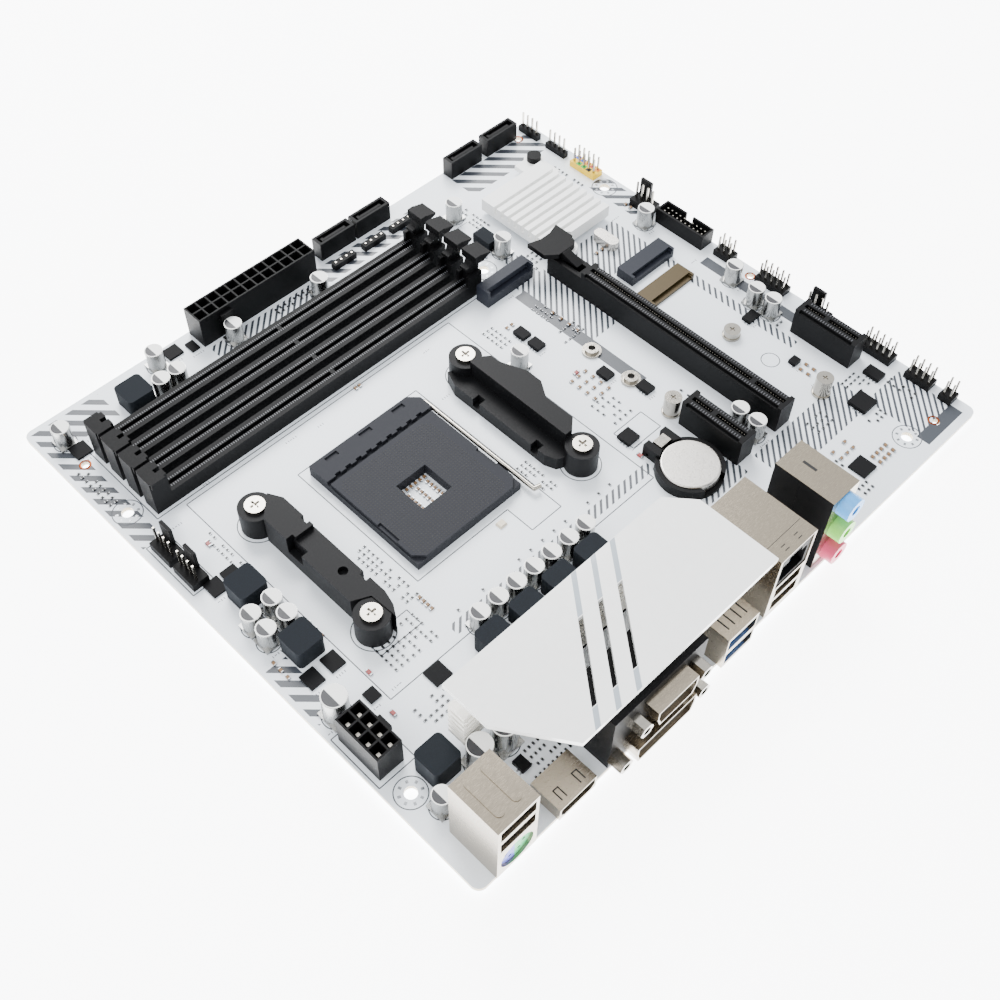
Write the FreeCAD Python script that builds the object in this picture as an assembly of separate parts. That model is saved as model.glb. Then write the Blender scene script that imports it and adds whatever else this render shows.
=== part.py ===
# A micro-ATX computer motherboard as an assembly of its separate pieces.
#
# Every shape is built from the rear left corner of the circuit board, with +X along the rear
# connector edge, +Y towards the memory slots and z = 0 on the board's top face. save() then moves
# it into the part frame, whose origin is the datum mounting hole on the board's underside.
import FreeCAD, Part
import math
import os

os.makedirs("parts", exist_ok=True)
V = FreeCAD.Vector

# ---- Driving dimensions, mm ------------------------------------------------------------------
board_width = 236.2
board_depth = 215.0
board_thickness = 1.6
corner_radius = 3.0
underside_space = 2.0  # what stands below the board: solder legs and the cooler backplate

datum_x = 6.35  # datum mounting hole, from the left edge
datum_y = 33.02  # datum mounting hole, from the rear edge
hole_pitch_x = 157.48
hole_pitch_y = 132.08
wide_pitch_x = 223.52
rear_hole_setback = 22.86
rear_hole_pitch_x = 45.72
mounting_hole_radius = 1.98
tooling_hole_radius = 1.3

fit_gap = 0.3  # air between pieces that move past each other
bearing_gap = 0.06  # radial clearance of a pin in its bore

dimm_count = 4
dimm_pitch = 9.4
dimm_first_y = 160.9
dimm_width = 6.5
dimm_height = 6.3
dimm_x = 12.8
module_length = 133.35
module_thickness = 1.4
tower_length = 6.6
tower_cap_width = 8.2
tower_height = 15.4
latch_angle_height = 4.2

pcie_pitch = 20.32
pcie_middle_x = 183.2
pcie_y = 42.2
pcie_width = 7.5
pcie_height = 11.25
pcie_x16_length = 89.3
pcie_x1_length = 25.1

socket_x = 78.1  # middle of the processor socket and of the cooler pattern
socket_y = 105.4
socket_width = 44.6
cover_depth = 41.2
window = 12.5
cooler_pitch_x = 90.0
cooler_pitch_y = 54.0
bracket_height = 12.0
lever_radius = 0.85

cell_radius = 10.0
cell_thickness = 3.2
cell_x = 146.0
cell_y = 51.5

power_pitch = 4.2
power_height = 12.5
header_pitch = 2.54
header_base_height = 2.5
header_pin_height = 8.6
low_pin_height = 2.8
header_pin_side = 0.64

io_height = 29.5
usb_port_width = 12.5
usb_port_height = 5.1

vrm_cover_height = 31.0
vrm_cover_thickness = 1.8
vrm_cover_left = 24.4
vrm_cover_right = 119.3
vrm_cover_depth = 38.7

front = board_depth
right = board_width
far_hole_x = datum_x + wide_pitch_x


# ---- Shape helpers ---------------------------------------------------------------------------
def block(x0, x1, y0, y1, z0, z1):
    return Part.makeBox(x1 - x0, y1 - y0, z1 - z0, V(x0, y0, z0))


def centred(x, y, width, depth, z0, z1):
    return block(x - width / 2, x + width / 2, y - depth / 2, y + depth / 2, z0, z1)


def post(x, y, z0, z1, radius):
    return Part.makeCylinder(radius, z1 - z0, V(x, y, z0), V(0, 0, 1))


def rod(start, end, radius):
    return Part.makeCylinder(radius, (end - start).Length, start, end - start)


def prism(outline, z0, z1):
    wire = Part.makePolygon([V(x, y, z0) for x, y in outline + outline[:1]])
    return Part.Face(wire).extrude(V(0, 0, z1 - z0))


def side_profile(outline, y0, y1):
    """A shape whose outline lies in the X-Z plane, from y0 to y1."""
    wire = Part.makePolygon([V(x, y0, z) for x, z in outline + outline[:1]])
    return Part.Face(wire).extrude(V(0, y1 - y0, 0))


def front_profile(outline, x0, x1):
    """A shape whose outline lies in the Y-Z plane, from x0 to x1."""
    wire = Part.makePolygon([V(x0, y, z) for y, z in outline + outline[:1]])
    return Part.Face(wire).extrude(V(x1 - x0, 0, 0))


def upright_edges(shape):
    return [e for e in shape.Edges if abs(abs(e.tangentAt(e.FirstParameter).z) - 1) < 1e-6]


def rounded(x0, x1, y0, y1, z0, z1, radius):
    plain = block(x0, x1, y0, y1, z0, z1)
    return plain.makeFillet(radius, upright_edges(plain))


def joined(shapes):
    return shapes[0].fuse(shapes[1:]).removeSplitter()


def save(name, *shapes):
    """Writes one sub-part; several shapes stay separate solids of it."""
    solid = shapes[0] if len(shapes) == 1 else Part.makeCompound(list(shapes))
    solid = solid.copy()
    solid.translate(V(-datum_x, -datum_y, board_thickness))
    solid.exportStep(f"parts/{name}.step")


# ---- Circuit board ---------------------------------------------------------------------------
def mounting_holes():
    near = [(datum_x, datum_y), (datum_x, datum_y + hole_pitch_y)]
    middle_x = datum_x + hole_pitch_x
    rear_y = datum_y - rear_hole_setback
    middle = [(middle_x, rear_y), (middle_x, datum_y + hole_pitch_y)]
    far = [(middle_x + rear_hole_pitch_x, rear_y), (far_hole_x, datum_y + hole_pitch_y)]
    return near + middle + far


def cooler_holes():
    half_x = cooler_pitch_x / 2
    half_y = cooler_pitch_y / 2
    return [(socket_x + i * half_x, socket_y + j * half_y) for i in (-1, 1) for j in (-1, 1)]


def tooling_holes():
    return [(7.7, front - 24.6), (right - 9.7, front - 6), (right - 4.2, 94.5), (right - 14.2, 7)]


cooler_hole_radius = 3.0
push_pin_radius = 1.5
push_pins = [(datum_x + 212, 192.5), (datum_x + 185.4, 149.6)]


def circuit_board():
    board = rounded(0, right, 0, front, -board_thickness, 0, corner_radius)
    sizes = [(mounting_holes(), mounting_hole_radius), (cooler_holes(), cooler_hole_radius)]
    sizes += [(tooling_holes(), tooling_hole_radius), (push_pins, push_pin_radius + bearing_gap)]
    holes = [post(x, y, -board_thickness, 0, radius) for group, radius in sizes for x, y in group]
    save("circuit_board", board.cut(holes))


# ---- Memory slots and their latches ----------------------------------------------------------
dimm_key_x = dimm_x + 74.6
dimm_key_width = 1.6
dimm_groove_depth = 3.9
module_start = dimm_x + 4.2
module_end = module_start + module_length
latch_pivot_x = module_end + 2.2
latch_pivot_radius = 0.9
latch_thickness = 3.4
latch_pad_width = 7.2
cheek_height = 10.4
cheek_start = module_end - 1.2
cheek_length = 6.4
cheek_floor = 0.5
foot_pocket_start = module_end - 3.6


def dimm_y(slot):
    return dimm_first_y + dimm_pitch * slot


def dimm_slot(slot):
    y = dimm_y(slot)
    half = dimm_width / 2
    body = block(dimm_x, cheek_start, y - half, y + half, 0, dimm_height)
    tower = block(dimm_x, dimm_x + tower_length, y - half, y + half, 0, tower_height)
    cap_half = tower_cap_width / 2
    cap = block(dimm_x + 0.4, dimm_x + tower_length - 1.0, y - cap_half, y + cap_half,
                tower_height - 2.6, tower_height)
    cheeks = block(cheek_start, cheek_start + cheek_length, y - half, y + half, 0, cheek_height)
    slot_body = joined([body, tower, cap, cheeks])
    gap_half = latch_thickness / 2 + fit_gap / 2
    groove_half = module_thickness / 2 + 0.05
    groove_floor = dimm_height - dimm_groove_depth
    tool = [block(module_start, dimm_key_x, y - groove_half, y + groove_half, groove_floor,
                  tower_height + 1)]
    after_key = dimm_key_x + dimm_key_width
    tool += [block(after_key, cheek_start, y - groove_half, y + groove_half, groove_floor, dimm_height + 1)]
    end = cheek_start + cheek_length + 1
    tool += [block(foot_pocket_start, end, y - gap_half, y + gap_half, cheek_floor, cheek_height + 1)]
    bore_start = V(latch_pivot_x, y - half - 1, latch_angle_height)
    tool += [rod(bore_start, bore_start + V(0, dimm_width + 2, 0), latch_pivot_radius + bearing_gap)]
    save(f"dimm_slot_{slot + 1}", slot_body.cut(tool))


def dimm_latch(slot):
    y = dimm_y(slot)
    x = latch_pivot_x
    z = latch_angle_height
    half = latch_thickness / 2
    arm = [(x - 3.4, z - 2.5), (x - 1.6, z - 2.7), (x + 1.4, z - 2.2), (x + 1.9, z - 1), (x + 3.4, z + 11.0)]
    arm += [(x - 0.2, z + 11.4), (x - 1.0, z + 9.4), (x - 3.0, z + 9.0), (x - 3.0, z + 8.0)]
    arm += [(x - 1.5, z + 6.6), (x - 1.7, z - 1.4), (x - 3.4, z - 1.7)]
    lever = side_profile(arm, y - half, y + half)
    pad = [(x - 0.3, z + 11.0), (x + 3.3, z + 10.6), (x + 6.9, z + 12.2), (x + 6.9, z + 13.0)]
    pad += [(x + 5.4, z + 13.0), (x + 5.4, z + 13.4), (x + 4.0, z + 13.4), (x + 4.0, z + 13.8)]
    pad += [(x + 2.6, z + 13.8), (x + 2.6, z + 14.2), (x - 0.3, z + 14.2)]
    thumb = side_profile(pad, y - latch_pad_width / 2, y + latch_pad_width / 2)
    reach = dimm_width / 2
    pivot = rod(V(x, y - reach, z), V(x, y + reach, z), latch_pivot_radius)
    save(f"dimm_latch_{slot + 1}", joined([lever, thumb, pivot]))


# ---- Expansion slots -------------------------------------------------------------------------
pcie_groove_width = 1.7
pcie_groove_depth = 8.6
pcie_end_wall = 1.5
pcie_key_y = pcie_y + 13.6
pcie_key_width = 1.9
clip_pivot_y = pcie_y + pcie_x16_length + 13.0
clip_pivot_z = 3.4
clip_pivot_radius = 0.9
clip_thickness = 3.6
clip_wing_half = 7.4
clip_yoke_length = 16.4
clip_yoke_height = 8.6
clip_channel_start = 2.4


def pcie_body(x, length):
    half = pcie_width / 2
    end = pcie_y + length
    body = block(x - half, x + half, pcie_y, end, 0, pcie_height)
    rebate = [block(x - half - 1, x - half + 0.9, pcie_y + 1.6, end - 1.6, pcie_height - 1.1,
                    pcie_height + 1)]
    rebate += [block(x + half - 0.9, x + half + 1, pcie_y + 1.6, end - 1.6, pcie_height - 1.1,
                     pcie_height + 1)]
    groove_half = pcie_groove_width / 2
    floor = pcie_height - pcie_groove_depth
    runs = [(pcie_y + pcie_end_wall, pcie_key_y), (pcie_key_y + pcie_key_width, end - pcie_end_wall)]
    grooves = [block(x - groove_half, x + groove_half, a, b, floor, pcie_height + 1) for a, b in runs]
    return body.cut(rebate + grooves)


def pcie_x16_slot():
    x = pcie_middle_x
    half = pcie_width / 2
    start = pcie_y + pcie_x16_length
    yoke = block(x - half, x + half, start, start + clip_yoke_length, 0, clip_yoke_height)
    slot = joined([pcie_body(x, pcie_x16_length), yoke])
    gap_half = clip_thickness / 2 + fit_gap / 2
    channel = block(x - gap_half, x + gap_half, start + clip_channel_start,
                    start + clip_yoke_length + 1, cheek_floor, clip_yoke_height + 1)
    bore = rod(V(x - half - 1, clip_pivot_y, clip_pivot_z), V(x + half + 1, clip_pivot_y, clip_pivot_z),
               clip_pivot_radius + bearing_gap)
    save("pcie_x16_slot", slot.cut([channel, bore]))


def pcie_x16_latch():
    x = pcie_middle_x
    y = clip_pivot_y
    z = clip_pivot_z
    half = clip_thickness / 2
    arm = [(y - 1.8, z - 2.0), (y + 1.6, z - 2.0), (y + 2.0, z - 1.0), (y + 2.4, z + 7.0),
           (y - 1.8, z + 7.0)]
    lever = front_profile(arm, x - half, x + half)
    nose = [(y - 9.2, z + 6.4), (y - 1.6, z + 5.4), (y + 3.0, z + 6.0), (y + 3.0, z + 8.4),
            (y - 2.0, z + 8.4)]
    hook = front_profile(nose, x - half, x + half)
    wing = [(x - clip_wing_half, y + 10.2), (x - 2.4, y + 8.6), (x + 2.4, y + 8.6),
            (x + clip_wing_half, y + 10.2)]
    wing += [(x + clip_wing_half, y + 1.8), (x + 3.4, y - 1.6), (x - 3.4, y - 1.6),
             (x - clip_wing_half, y + 1.8)]
    pad = prism(wing, z + 6.6, z + 8.6)
    pivot = rod(V(x - pcie_width / 2, y, z), V(x + pcie_width / 2, y, z), clip_pivot_radius)
    save("pcie_x16_latch", joined([lever, hook, pad, pivot]))


def pcie_x1_slots():
    save("pcie_x1_slots", *[pcie_body(pcie_middle_x + pcie_pitch * step, pcie_x1_length)
                            for step in (-1, 2)])


# ---- Processor socket ------------------------------------------------------------------------
base_height = 3.0
cover_thickness = 1.4
cover_travel = 0.9
head_depth = 9.0
head_height = 4.6
socket_rear = socket_y - 20.5
cover_front = socket_rear + cover_depth
head_rear = cover_front + cover_travel + 0.4
lever_pivot_y = head_rear + 4.4
lever_pivot_z = 2.4
socket_left = socket_x - 20.9  # the lever's side of the body is wider than the other
socket_right = socket_left + socket_width
lever_x = socket_right + 1.9
lever_length = 51.0


def socket_window(z0, z1):
    return centred(socket_x, socket_y - 0.6, window, window, z0, z1)


def cpu_socket_base():
    tray = block(socket_left, socket_right, socket_rear, head_rear, 0, base_height)
    outline = [(socket_left, head_rear), (socket_right + 0.9, head_rear),
               (socket_right + 0.9, head_rear + 5.5)]
    outline += [(socket_right - 2.6, head_rear + head_depth), (socket_left, head_rear + head_depth)]
    head = prism(outline, 0, head_height)
    rest_start = socket_rear + 8
    catch = block(socket_right, lever_x + 0.6, rest_start, rest_start + 4, 0,
                  lever_pivot_z - lever_radius - 0.15)
    body = joined([tray, head, catch])
    bore = rod(V(socket_right - 16.2, lever_pivot_y, lever_pivot_z),
               V(lever_x, lever_pivot_y, lever_pivot_z),
               lever_radius + bearing_gap)
    tools = [socket_window(-1, base_height + 1), bore]
    pocket_step = 14.4
    for i in range(3):
        x = socket_x + 1.4 + (i - 1) * pocket_step
        tools.append(centred(x, head_rear + 7.0, 5.0, 1.8, head_height - 0.7, head_height + 1))
    for i in range(9):
        x = socket_left + 4.8 + 4.4 * i
        tools.append(centred(x, head_rear, 2.2, 1.6, base_height, head_height + 1))
    save("cpu_socket_base", body.cut(tools))


def cpu_socket_cover():
    z0 = base_height + 0.05
    c = 3.2
    a = socket_left + 0.4
    b = socket_right - 0.4
    outline = [(a + c, socket_rear), (b - c, socket_rear), (b, socket_rear + c), (b, cover_front),
               (a, cover_front)]
    plate = prism(outline + [(a, socket_rear + c)], z0, z0 + cover_thickness)
    side_clips = [centred(x, socket_y - 6, 1.2, 9, z0 + 0.6, z0 + 3) for x in (a + 0.6, b - 0.6)]
    save("cpu_socket_cover", plate.cut([socket_window(0, head_height)] + side_clips))


def cpu_socket_lever():
    corner = V(lever_x, lever_pivot_y, lever_pivot_z)
    shaft = rod(V(socket_right - 16, lever_pivot_y, lever_pivot_z), corner, lever_radius)
    arm = rod(corner, corner - V(0, lever_length, 0), lever_radius)
    tip = rod(corner - V(0, lever_length, 0), corner + V(2.4, -lever_length - 0.6, 0), lever_radius)
    ends = [Part.makeSphere(lever_radius, place) for place in (corner, corner - V(0, lever_length, 0))]
    save("cpu_socket_lever", joined([shaft, arm, tip] + ends))


# ---- Cooler brackets, their screws and the backplate -----------------------------------------
boss_radius = 5.7
boss_height = 9.6
stud_radius = 2.7
screw_radius = 1.5
screw_head_radius = 3.3
screw_head_height = 1.2
flange_height = 5.4
low_bar_height = 10.0


def bracket_ends():
    return [socket_y - cooler_pitch_y / 2, socket_y + cooler_pitch_y / 2]


def finished_bracket(name, x, pieces):
    bosses = [post(x, y, 0, boss_height, boss_radius) for y in bracket_ends()]
    bores = [post(x, y, -1, bracket_height + 1, stud_radius + bearing_gap) for y in bracket_ends()]
    save(name, joined(pieces + bosses).cut(bores))


def cooler_bracket_left():
    """Its bar lies on the socket's side of the screws, high at one end and low along the rest."""
    x = socket_x - cooler_pitch_x / 2
    low, high = bracket_ends()
    outer = x - 1.8
    inner = x + 8.0
    step_y = high - 19.0
    pad = [(outer, step_y), (outer, high - 6.8), (x + 5.0, high), (inner - 0.4, high - 4.8),
           (inner - 0.4, step_y)]
    bar = [(outer, low + 7.4), (outer, step_y + 0.5), (inner, step_y + 0.5), (inner, low + 3),
           (inner - 1.4, low - 2.2)]
    bar += [(x + 4.5, low - 5.6), (x + 4.0, low + 4.6)]
    body = joined([prism(pad, 0, bracket_height), prism(bar, 0, low_bar_height)])
    notches = [centred(inner, y, 3.2, 3.0, flange_height, bracket_height + 1)
               for y in (high - 15.8, low + 11.2)]
    hook_recess = centred(outer, socket_y + 6, 5.0, 7.0, 5.0, bracket_height + 1)
    eye = post(x + 3.7, socket_y - 10, low_bar_height - 2, bracket_height + 1, 1.6)
    finished_bracket("cooler_bracket_left", x, [body.cut(notches + [hook_recess, eye])])


def cooler_bracket_right():
    """A high ridge that bulges outward in the middle, with a low flange towards the socket."""
    x = socket_x + cooler_pitch_x / 2
    low, high = bracket_ends()
    ridge = [(x - 2.1, low + 5.6), (x - 2.1, high - 4.4), (x + 1.0, high - 4.4), (x + 4.9, high - 7.4)]
    ridge += [(x + 4.9, high - 11), (x + 8.8, high - 20.6), (x + 8.8, high - 27), (x + 4.9, high - 33)]
    ridge += [(x + 4.9, low + 9), (x + 1.0, low + 5.6)]
    flange = [(x - 1.0, low + 1), (x - 7.4, low + 4), (x - 9.0, low + 8), (x - 9.0, high - 4),
              (x - 6.6, high + 2)]
    flange += [(x - 1.0, high - 3)]
    body = joined([prism(ridge, 0, bracket_height), prism(flange, 0, flange_height)])
    notches = [centred(x - 9.0, y, 5.6, 3.2, 2.0, flange_height + 1) for y in (high - 14.4, low + 12.6)]
    finished_bracket("cooler_bracket_right", x, [body.cut(notches)])


def bracket_screws():
    screws = []
    head_base = boss_height
    for x, y in cooler_holes():
        head = post(x, y, head_base, head_base + screw_head_height, screw_head_radius)
        shank = post(x, y, -board_thickness, head_base, screw_radius)
        recess = [centred(x, y, 3.4, 0.8, head_base + 0.4, head_base + 3)]
        recess += [centred(x, y, 0.8, 3.4, head_base + 0.4, head_base + 3)]
        screws.append(joined([head, shank]).cut(recess))
    save("bracket_screws", *screws)


def cooler_backplate():
    margin = 8.0
    z1 = -board_thickness
    z0 = z1 - underside_space
    half_x = cooler_pitch_x / 2 + margin
    half_y = cooler_pitch_y / 2 + margin
    plate = rounded(socket_x - half_x, socket_x + half_x, socket_y - half_y, socket_y + half_y, z0, z1, 4)
    opening = rounded(socket_x - 24, socket_x + 24, socket_y - 20, socket_y + 20, z0 - 1, z1 + 1, 4)
    studs = [post(x, y, z1, boss_height - 1.4, stud_radius) for x, y in cooler_holes()]
    bores = [post(x, y, z0 - 1, boss_height, screw_radius + bearing_gap) for x, y in cooler_holes()]
    save("cooler_backplate", joined([plate.cut(opening)] + studs).cut(bores))


# ---- Coin cell and its holder ----------------------------------------------------------------
holder_radius = cell_radius + 1.5
holder_height = 4.0
cell_floor = 1.4
clip_width = 5.0
battery_clip_y = cell_y + cell_radius + 3.6
battery_clip_pivot_z = 1.6


def battery_holder():
    ring = post(cell_x, cell_y, 0, holder_height, holder_radius)
    block_end = block(cell_x - 5.5, cell_x + 5.5, cell_y, cell_y + cell_radius + 5.6, 0, holder_height + 1.2)
    cavity = post(cell_x, cell_y, cell_floor - fit_gap / 2, holder_height + 2, cell_radius + fit_gap / 2)
    thumb_gap = block(cell_x - 5, cell_x + 5, cell_y - holder_radius - 1, cell_y - 5, 1.2, holder_height + 2)
    gap_half = clip_width / 2 + fit_gap
    channel = block(cell_x - gap_half, cell_x + gap_half, cell_y + cell_radius + 1.6,
                    cell_y + cell_radius + 9,
                    cheek_floor, holder_height + 2)
    nose_way = block(cell_x - gap_half, cell_x + gap_half, cell_y + cell_radius, cell_y + cell_radius + 2,
                     holder_height - 1.6, holder_height + 2)
    bore = rod(V(cell_x - 7, battery_clip_y, battery_clip_pivot_z),
               V(cell_x + 7, battery_clip_y, battery_clip_pivot_z),
               0.5 + bearing_gap)
    save("battery_holder", joined([ring, block_end]).cut([cavity, thumb_gap, channel, nose_way, bore]))


def coin_cell():
    can = post(cell_x, cell_y, cell_floor, cell_floor + cell_thickness, cell_radius)
    top_edge = [e for e in can.Edges if abs(e.BoundBox.ZMin - cell_floor - cell_thickness) < 1e-6]
    save("coin_cell", can.makeFillet(0.6, top_edge))


def battery_clip():
    y = battery_clip_y
    z = battery_clip_pivot_z
    near = cell_y + cell_radius + 0.5
    half = clip_width / 2
    spring = [(y - 0.5, z - 0.5), (y + 0.5, z - 0.5), (y + 0.5, z + 3.9), (near, z + 3.9), (near, z + 1.4)]
    spring += [(near + 0.6, z + 1.4), (near + 0.6, z + 3.3), (y - 0.5, z + 3.3)]
    blade = front_profile(spring, cell_x - half, cell_x + half)
    pivot = rod(V(cell_x - 4.4, y, z), V(cell_x + 4.4, y, z), 0.5)
    save("battery_clip", joined([blade, pivot]))


# ---- Power connectors ------------------------------------------------------------------------
power_wall = 0.6
power_cell = power_pitch - power_wall
atx_x = 67.1
atx_columns = 12
atx_front = front - 1.0
eps_x = 2.6
eps_y = 41.5
eps_rows = 4
power_floor = 2.0
power_pin_side = 1.1


def power_block(x0, y0, columns, rows):
    width = columns * power_pitch + power_wall
    depth = rows * power_pitch + power_wall
    body = block(x0, x0 + width, y0, y0 + depth, 0, power_height)
    cells = []
    pins = []
    for i in range(columns):
        for j in range(rows):
            x = x0 + power_wall / 2 + power_pitch * (i + 0.5)
            y = y0 + power_wall / 2 + power_pitch * (j + 0.5)
            cells.append(centred(x, y, power_cell, power_cell, power_floor, power_height + 1))
            pins.append(centred(x, y, power_pin_side, power_pin_side, power_floor, power_height - 3))
    return body.cut(cells), pins


def power_headers():
    atx_depth = 2 * power_pitch + power_wall
    atx_rear = atx_front - atx_depth
    atx, atx_pins = power_block(atx_x, atx_rear, atx_columns, 2)
    ledge = block(atx_x + 8, atx_x + 13, atx_rear - 1.5, atx_rear, power_height - 4.5, power_height - 2)
    save("atx_power_header", joined([atx, ledge]))
    eps, eps_pins = power_block(eps_x, eps_y, 2, eps_rows)
    eps_end = eps_x + 2 * power_pitch + power_wall
    ledge_y = eps_y + eps_rows * power_pitch / 2
    catch = block(eps_end, eps_end + 1.5, ledge_y - 2.5, ledge_y + 2.5, power_height - 4.5, power_height - 2)
    save("cpu_power_header", joined([eps, catch]))
    return atx_pins + eps_pins


# ---- Drive connectors ------------------------------------------------------------------------
sata_length = 16.4
sata_depth = 5.0
sata_height = 7.8
sata_front = front - 0.4


def sata_ports():
    ports = []
    for x in (124.2, 141.6, right - 46.0, right - 26.6):
        y = sata_front - sata_depth
        body = block(x, x + sata_length, y, sata_front, 0, sata_height)
        pocket = block(x + 1.2, x + sata_length - 1.2, y + 1.0, sata_front - 1.0, 1.6, sata_height + 1)
        tongue = block(x + 2.6, x + sata_length - 2.6, y + 1.9, y + 3.0, 1.6, sata_height - 0.8)
        key = block(x + 2.6, x + 3.8, y + 1.9, y + 3.7, 1.6, sata_height - 0.8)
        ports.append(joined([body.cut(pocket), tongue, key]))
    save("sata_ports", *ports)


# ---- Pin headers -----------------------------------------------------------------------------
edge_column_x = right - 5.2
single_row_y = front - 12.8
strip_x = right - 5.6
fan_wall = 1.2


def pin_grid(x0, y0, columns, rows):
    half = header_pitch / 2
    return [(x0 + half + header_pitch * i, y0 + half + header_pitch * j)
            for i in range(columns) for j in range(rows)]


def header(x0, y0, columns, rows, pin_top=header_pin_height):
    base = block(x0, x0 + columns * header_pitch, y0, y0 + rows * header_pitch, 0, header_base_height)
    pins = []
    for x, y in pin_grid(x0, y0, columns, rows):
        pins.append(centred(x, y, header_pin_side, header_pin_side, header_base_height, pin_top))
    return base, pins


def plain_headers():
    wide = [(edge_column_x, y, 2, 5) for y in (79.4, 32.9)]
    wide += [(edge_column_x, 104.0, 2, 3), (edge_column_x, 16.6, 2, 4), (edge_column_x, 7.8, 2, 2)]
    low = [(x, single_row_y, 4, 1, low_pin_height) for x in (124.5, 139.0, 152.6)]
    strips = [(strip_x, front - 12.2, 1, 4), (strip_x, front - 27.2, 1, 4)]
    bases = []
    pins = []
    for place in wide + low + strips:
        base, base_pins = header(*place)
        bases.append(base)
        pins += base_pins
    return bases, pins


def fan_header(x, y, wall_side):
    """A four-pin fan header that runs along Y; wall_side is where its tall guide stands."""
    length = 4 * header_pitch
    base = block(x, x + 6.0, y, y + length, 0, 3.2)
    wall_x = x + 6.0 - fan_wall if wall_side > 0 else x
    guide = block(wall_x, wall_x + fan_wall, y + length - 5.8, y + length - 0.6, 0, 10.4)
    pin_x = x + 2.4 if wall_side > 0 else x + 3.6
    pins = []
    for i in range(4):
        pin_y = y + header_pitch * (i + 0.5)
        pins.append(centred(pin_x, pin_y, header_pin_side, header_pin_side, 3.2, 10.4))
    return joined([base, guide]), pins


def pin_headers(other_pins):
    """Saves the open headers, and every connector pin as one sub-part."""
    bases, pins = plain_headers()
    fans = []
    for x, y, side in [(3.4, 138.4, 1), (3.4, 126.4, 1), (right - 7.0, 141.6, 1), (right - 7.0, 60.2, 1)]:
        body, fan_pins = fan_header(x, y, side)
        fans.append(body)
        pins += fan_pins
    panel, panel_pins = header(right - 6.7, 170.8, 2, 5)
    save("pin_header_bases", *bases)
    save("fan_headers", *fans)
    save("front_panel_header", panel)
    save("header_pins", *(pins + panel_pins + other_pins))


usb_header_length = 22.6
usb_header_width = 6.6
usb_header_height = 6.4
usb_header_x = right - 7.0
usb_header_y = 116.0
usb_header_wall = 0.8


def usb_front_header():
    """Saves the shrouded header and returns its pins."""
    x1 = usb_header_x + usb_header_width
    y1 = usb_header_y + usb_header_length
    box = block(usb_header_x, x1, usb_header_y, y1, 0, usb_header_height)
    w = usb_header_wall
    pocket = block(usb_header_x + w, x1 - w, usb_header_y + w, y1 - w, 1.6, usb_header_height + 1)
    middle = (usb_header_y + y1) / 2
    notch = block(x1 - w - 0.5, x1 + 1, middle - 1.6, middle + 1.6, 3.0, usb_header_height + 1)
    save("usb_front_header", box.cut([pocket, notch]))
    pins = []
    for i in range(2):
        for j in range(10):
            x = usb_header_x + usb_header_width / 2 + (i - 0.5) * 2.0
            pins.append(centred(x, middle + (j - 4.5) * 2.0, 0.5, 0.5, 1.6, 5.4))
    return pins


# ---- Storage and wireless card connectors ----------------------------------------------------
m2_width = 22.8
m2_thread_radius = 1.2
m2_slot_gap = 0.9


def m2_slot(x, y, height, depth):
    """An edge connector along X whose card slot opens towards the rear, at y."""
    body = block(x, x + m2_width, y, y + depth, 0, height)
    mouth = y - 1
    middle = height * 0.62
    slot = block(x + 1.4, x + m2_width - 1.4, mouth, mouth + 4.6, middle - m2_slot_gap / 2,
                 middle + m2_slot_gap / 2)
    ledge = block(x + 1.0, x + m2_width - 1.0, mouth, mouth + 2.8, middle + m2_slot_gap / 2, height + 1)
    return body.cut([slot, ledge])


def nut(x, y, height, barrel_radius, flange_radius):
    flange = post(x, y, 0, 0.9, flange_radius)
    barrel = post(x, y, 0.9, height, barrel_radius)
    return joined([flange, barrel]).cut(post(x, y, -1, height + 1, m2_thread_radius + bearing_gap))


def m2_parts():
    save("m2_slots", m2_slot(151.2, 149.8, 7.2, 6.0), m2_slot(196.7, 121.2, 4.2, 7.8))
    save("m2_slot_wireless", m2_slot(193.2, 108.3, 2.4, 8.0))
    tall = [(161.2, 72.3, 6.6), (204.6, 42.1, 6.6), (203.5, 80.5, 2.2)]
    low = [(162.3, 109.7, 2.0), (162.3, 91.4, 2.0)]
    standoffs = [nut(x, y, height, 3.0, 3.3) for x, y, height in tall]
    standoffs += [nut(x, y, height, 2.6, 3.5) for x, y, height in low]
    save("m2_standoffs", *standoffs)
    screws = []
    for x, y, height in tall:
        head = post(x, y, height, height + 1.1, 3.0)
        recess = [centred(x, y, 2.2, 0.5, height + 0.5, height + 2),
                  centred(x, y, 0.5, 2.2, height + 0.5, height + 2)]
        screws.append(joined([head, post(x, y, 0, height, m2_thread_radius)]).cut(recess))
    save("m2_screws", *screws)


# ---- Chipset and its heatsink ----------------------------------------------------------------
sink_x = datum_x + 178.6
sink_y = 151.6
sink_width = 32.0
sink_depth = 36.0
sink_height = 7.0
sink_seat = 1.9
chip_side = 22.0


def chipset():
    x = sink_x + sink_width / 2
    y = sink_y + sink_depth / 2
    carrier = centred(x, y, chip_side, chip_side, 0, 0.9)
    die = centred(x, y, 9, 9, 0.9, sink_seat)
    save("chipset", joined([carrier, die]))


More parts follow.
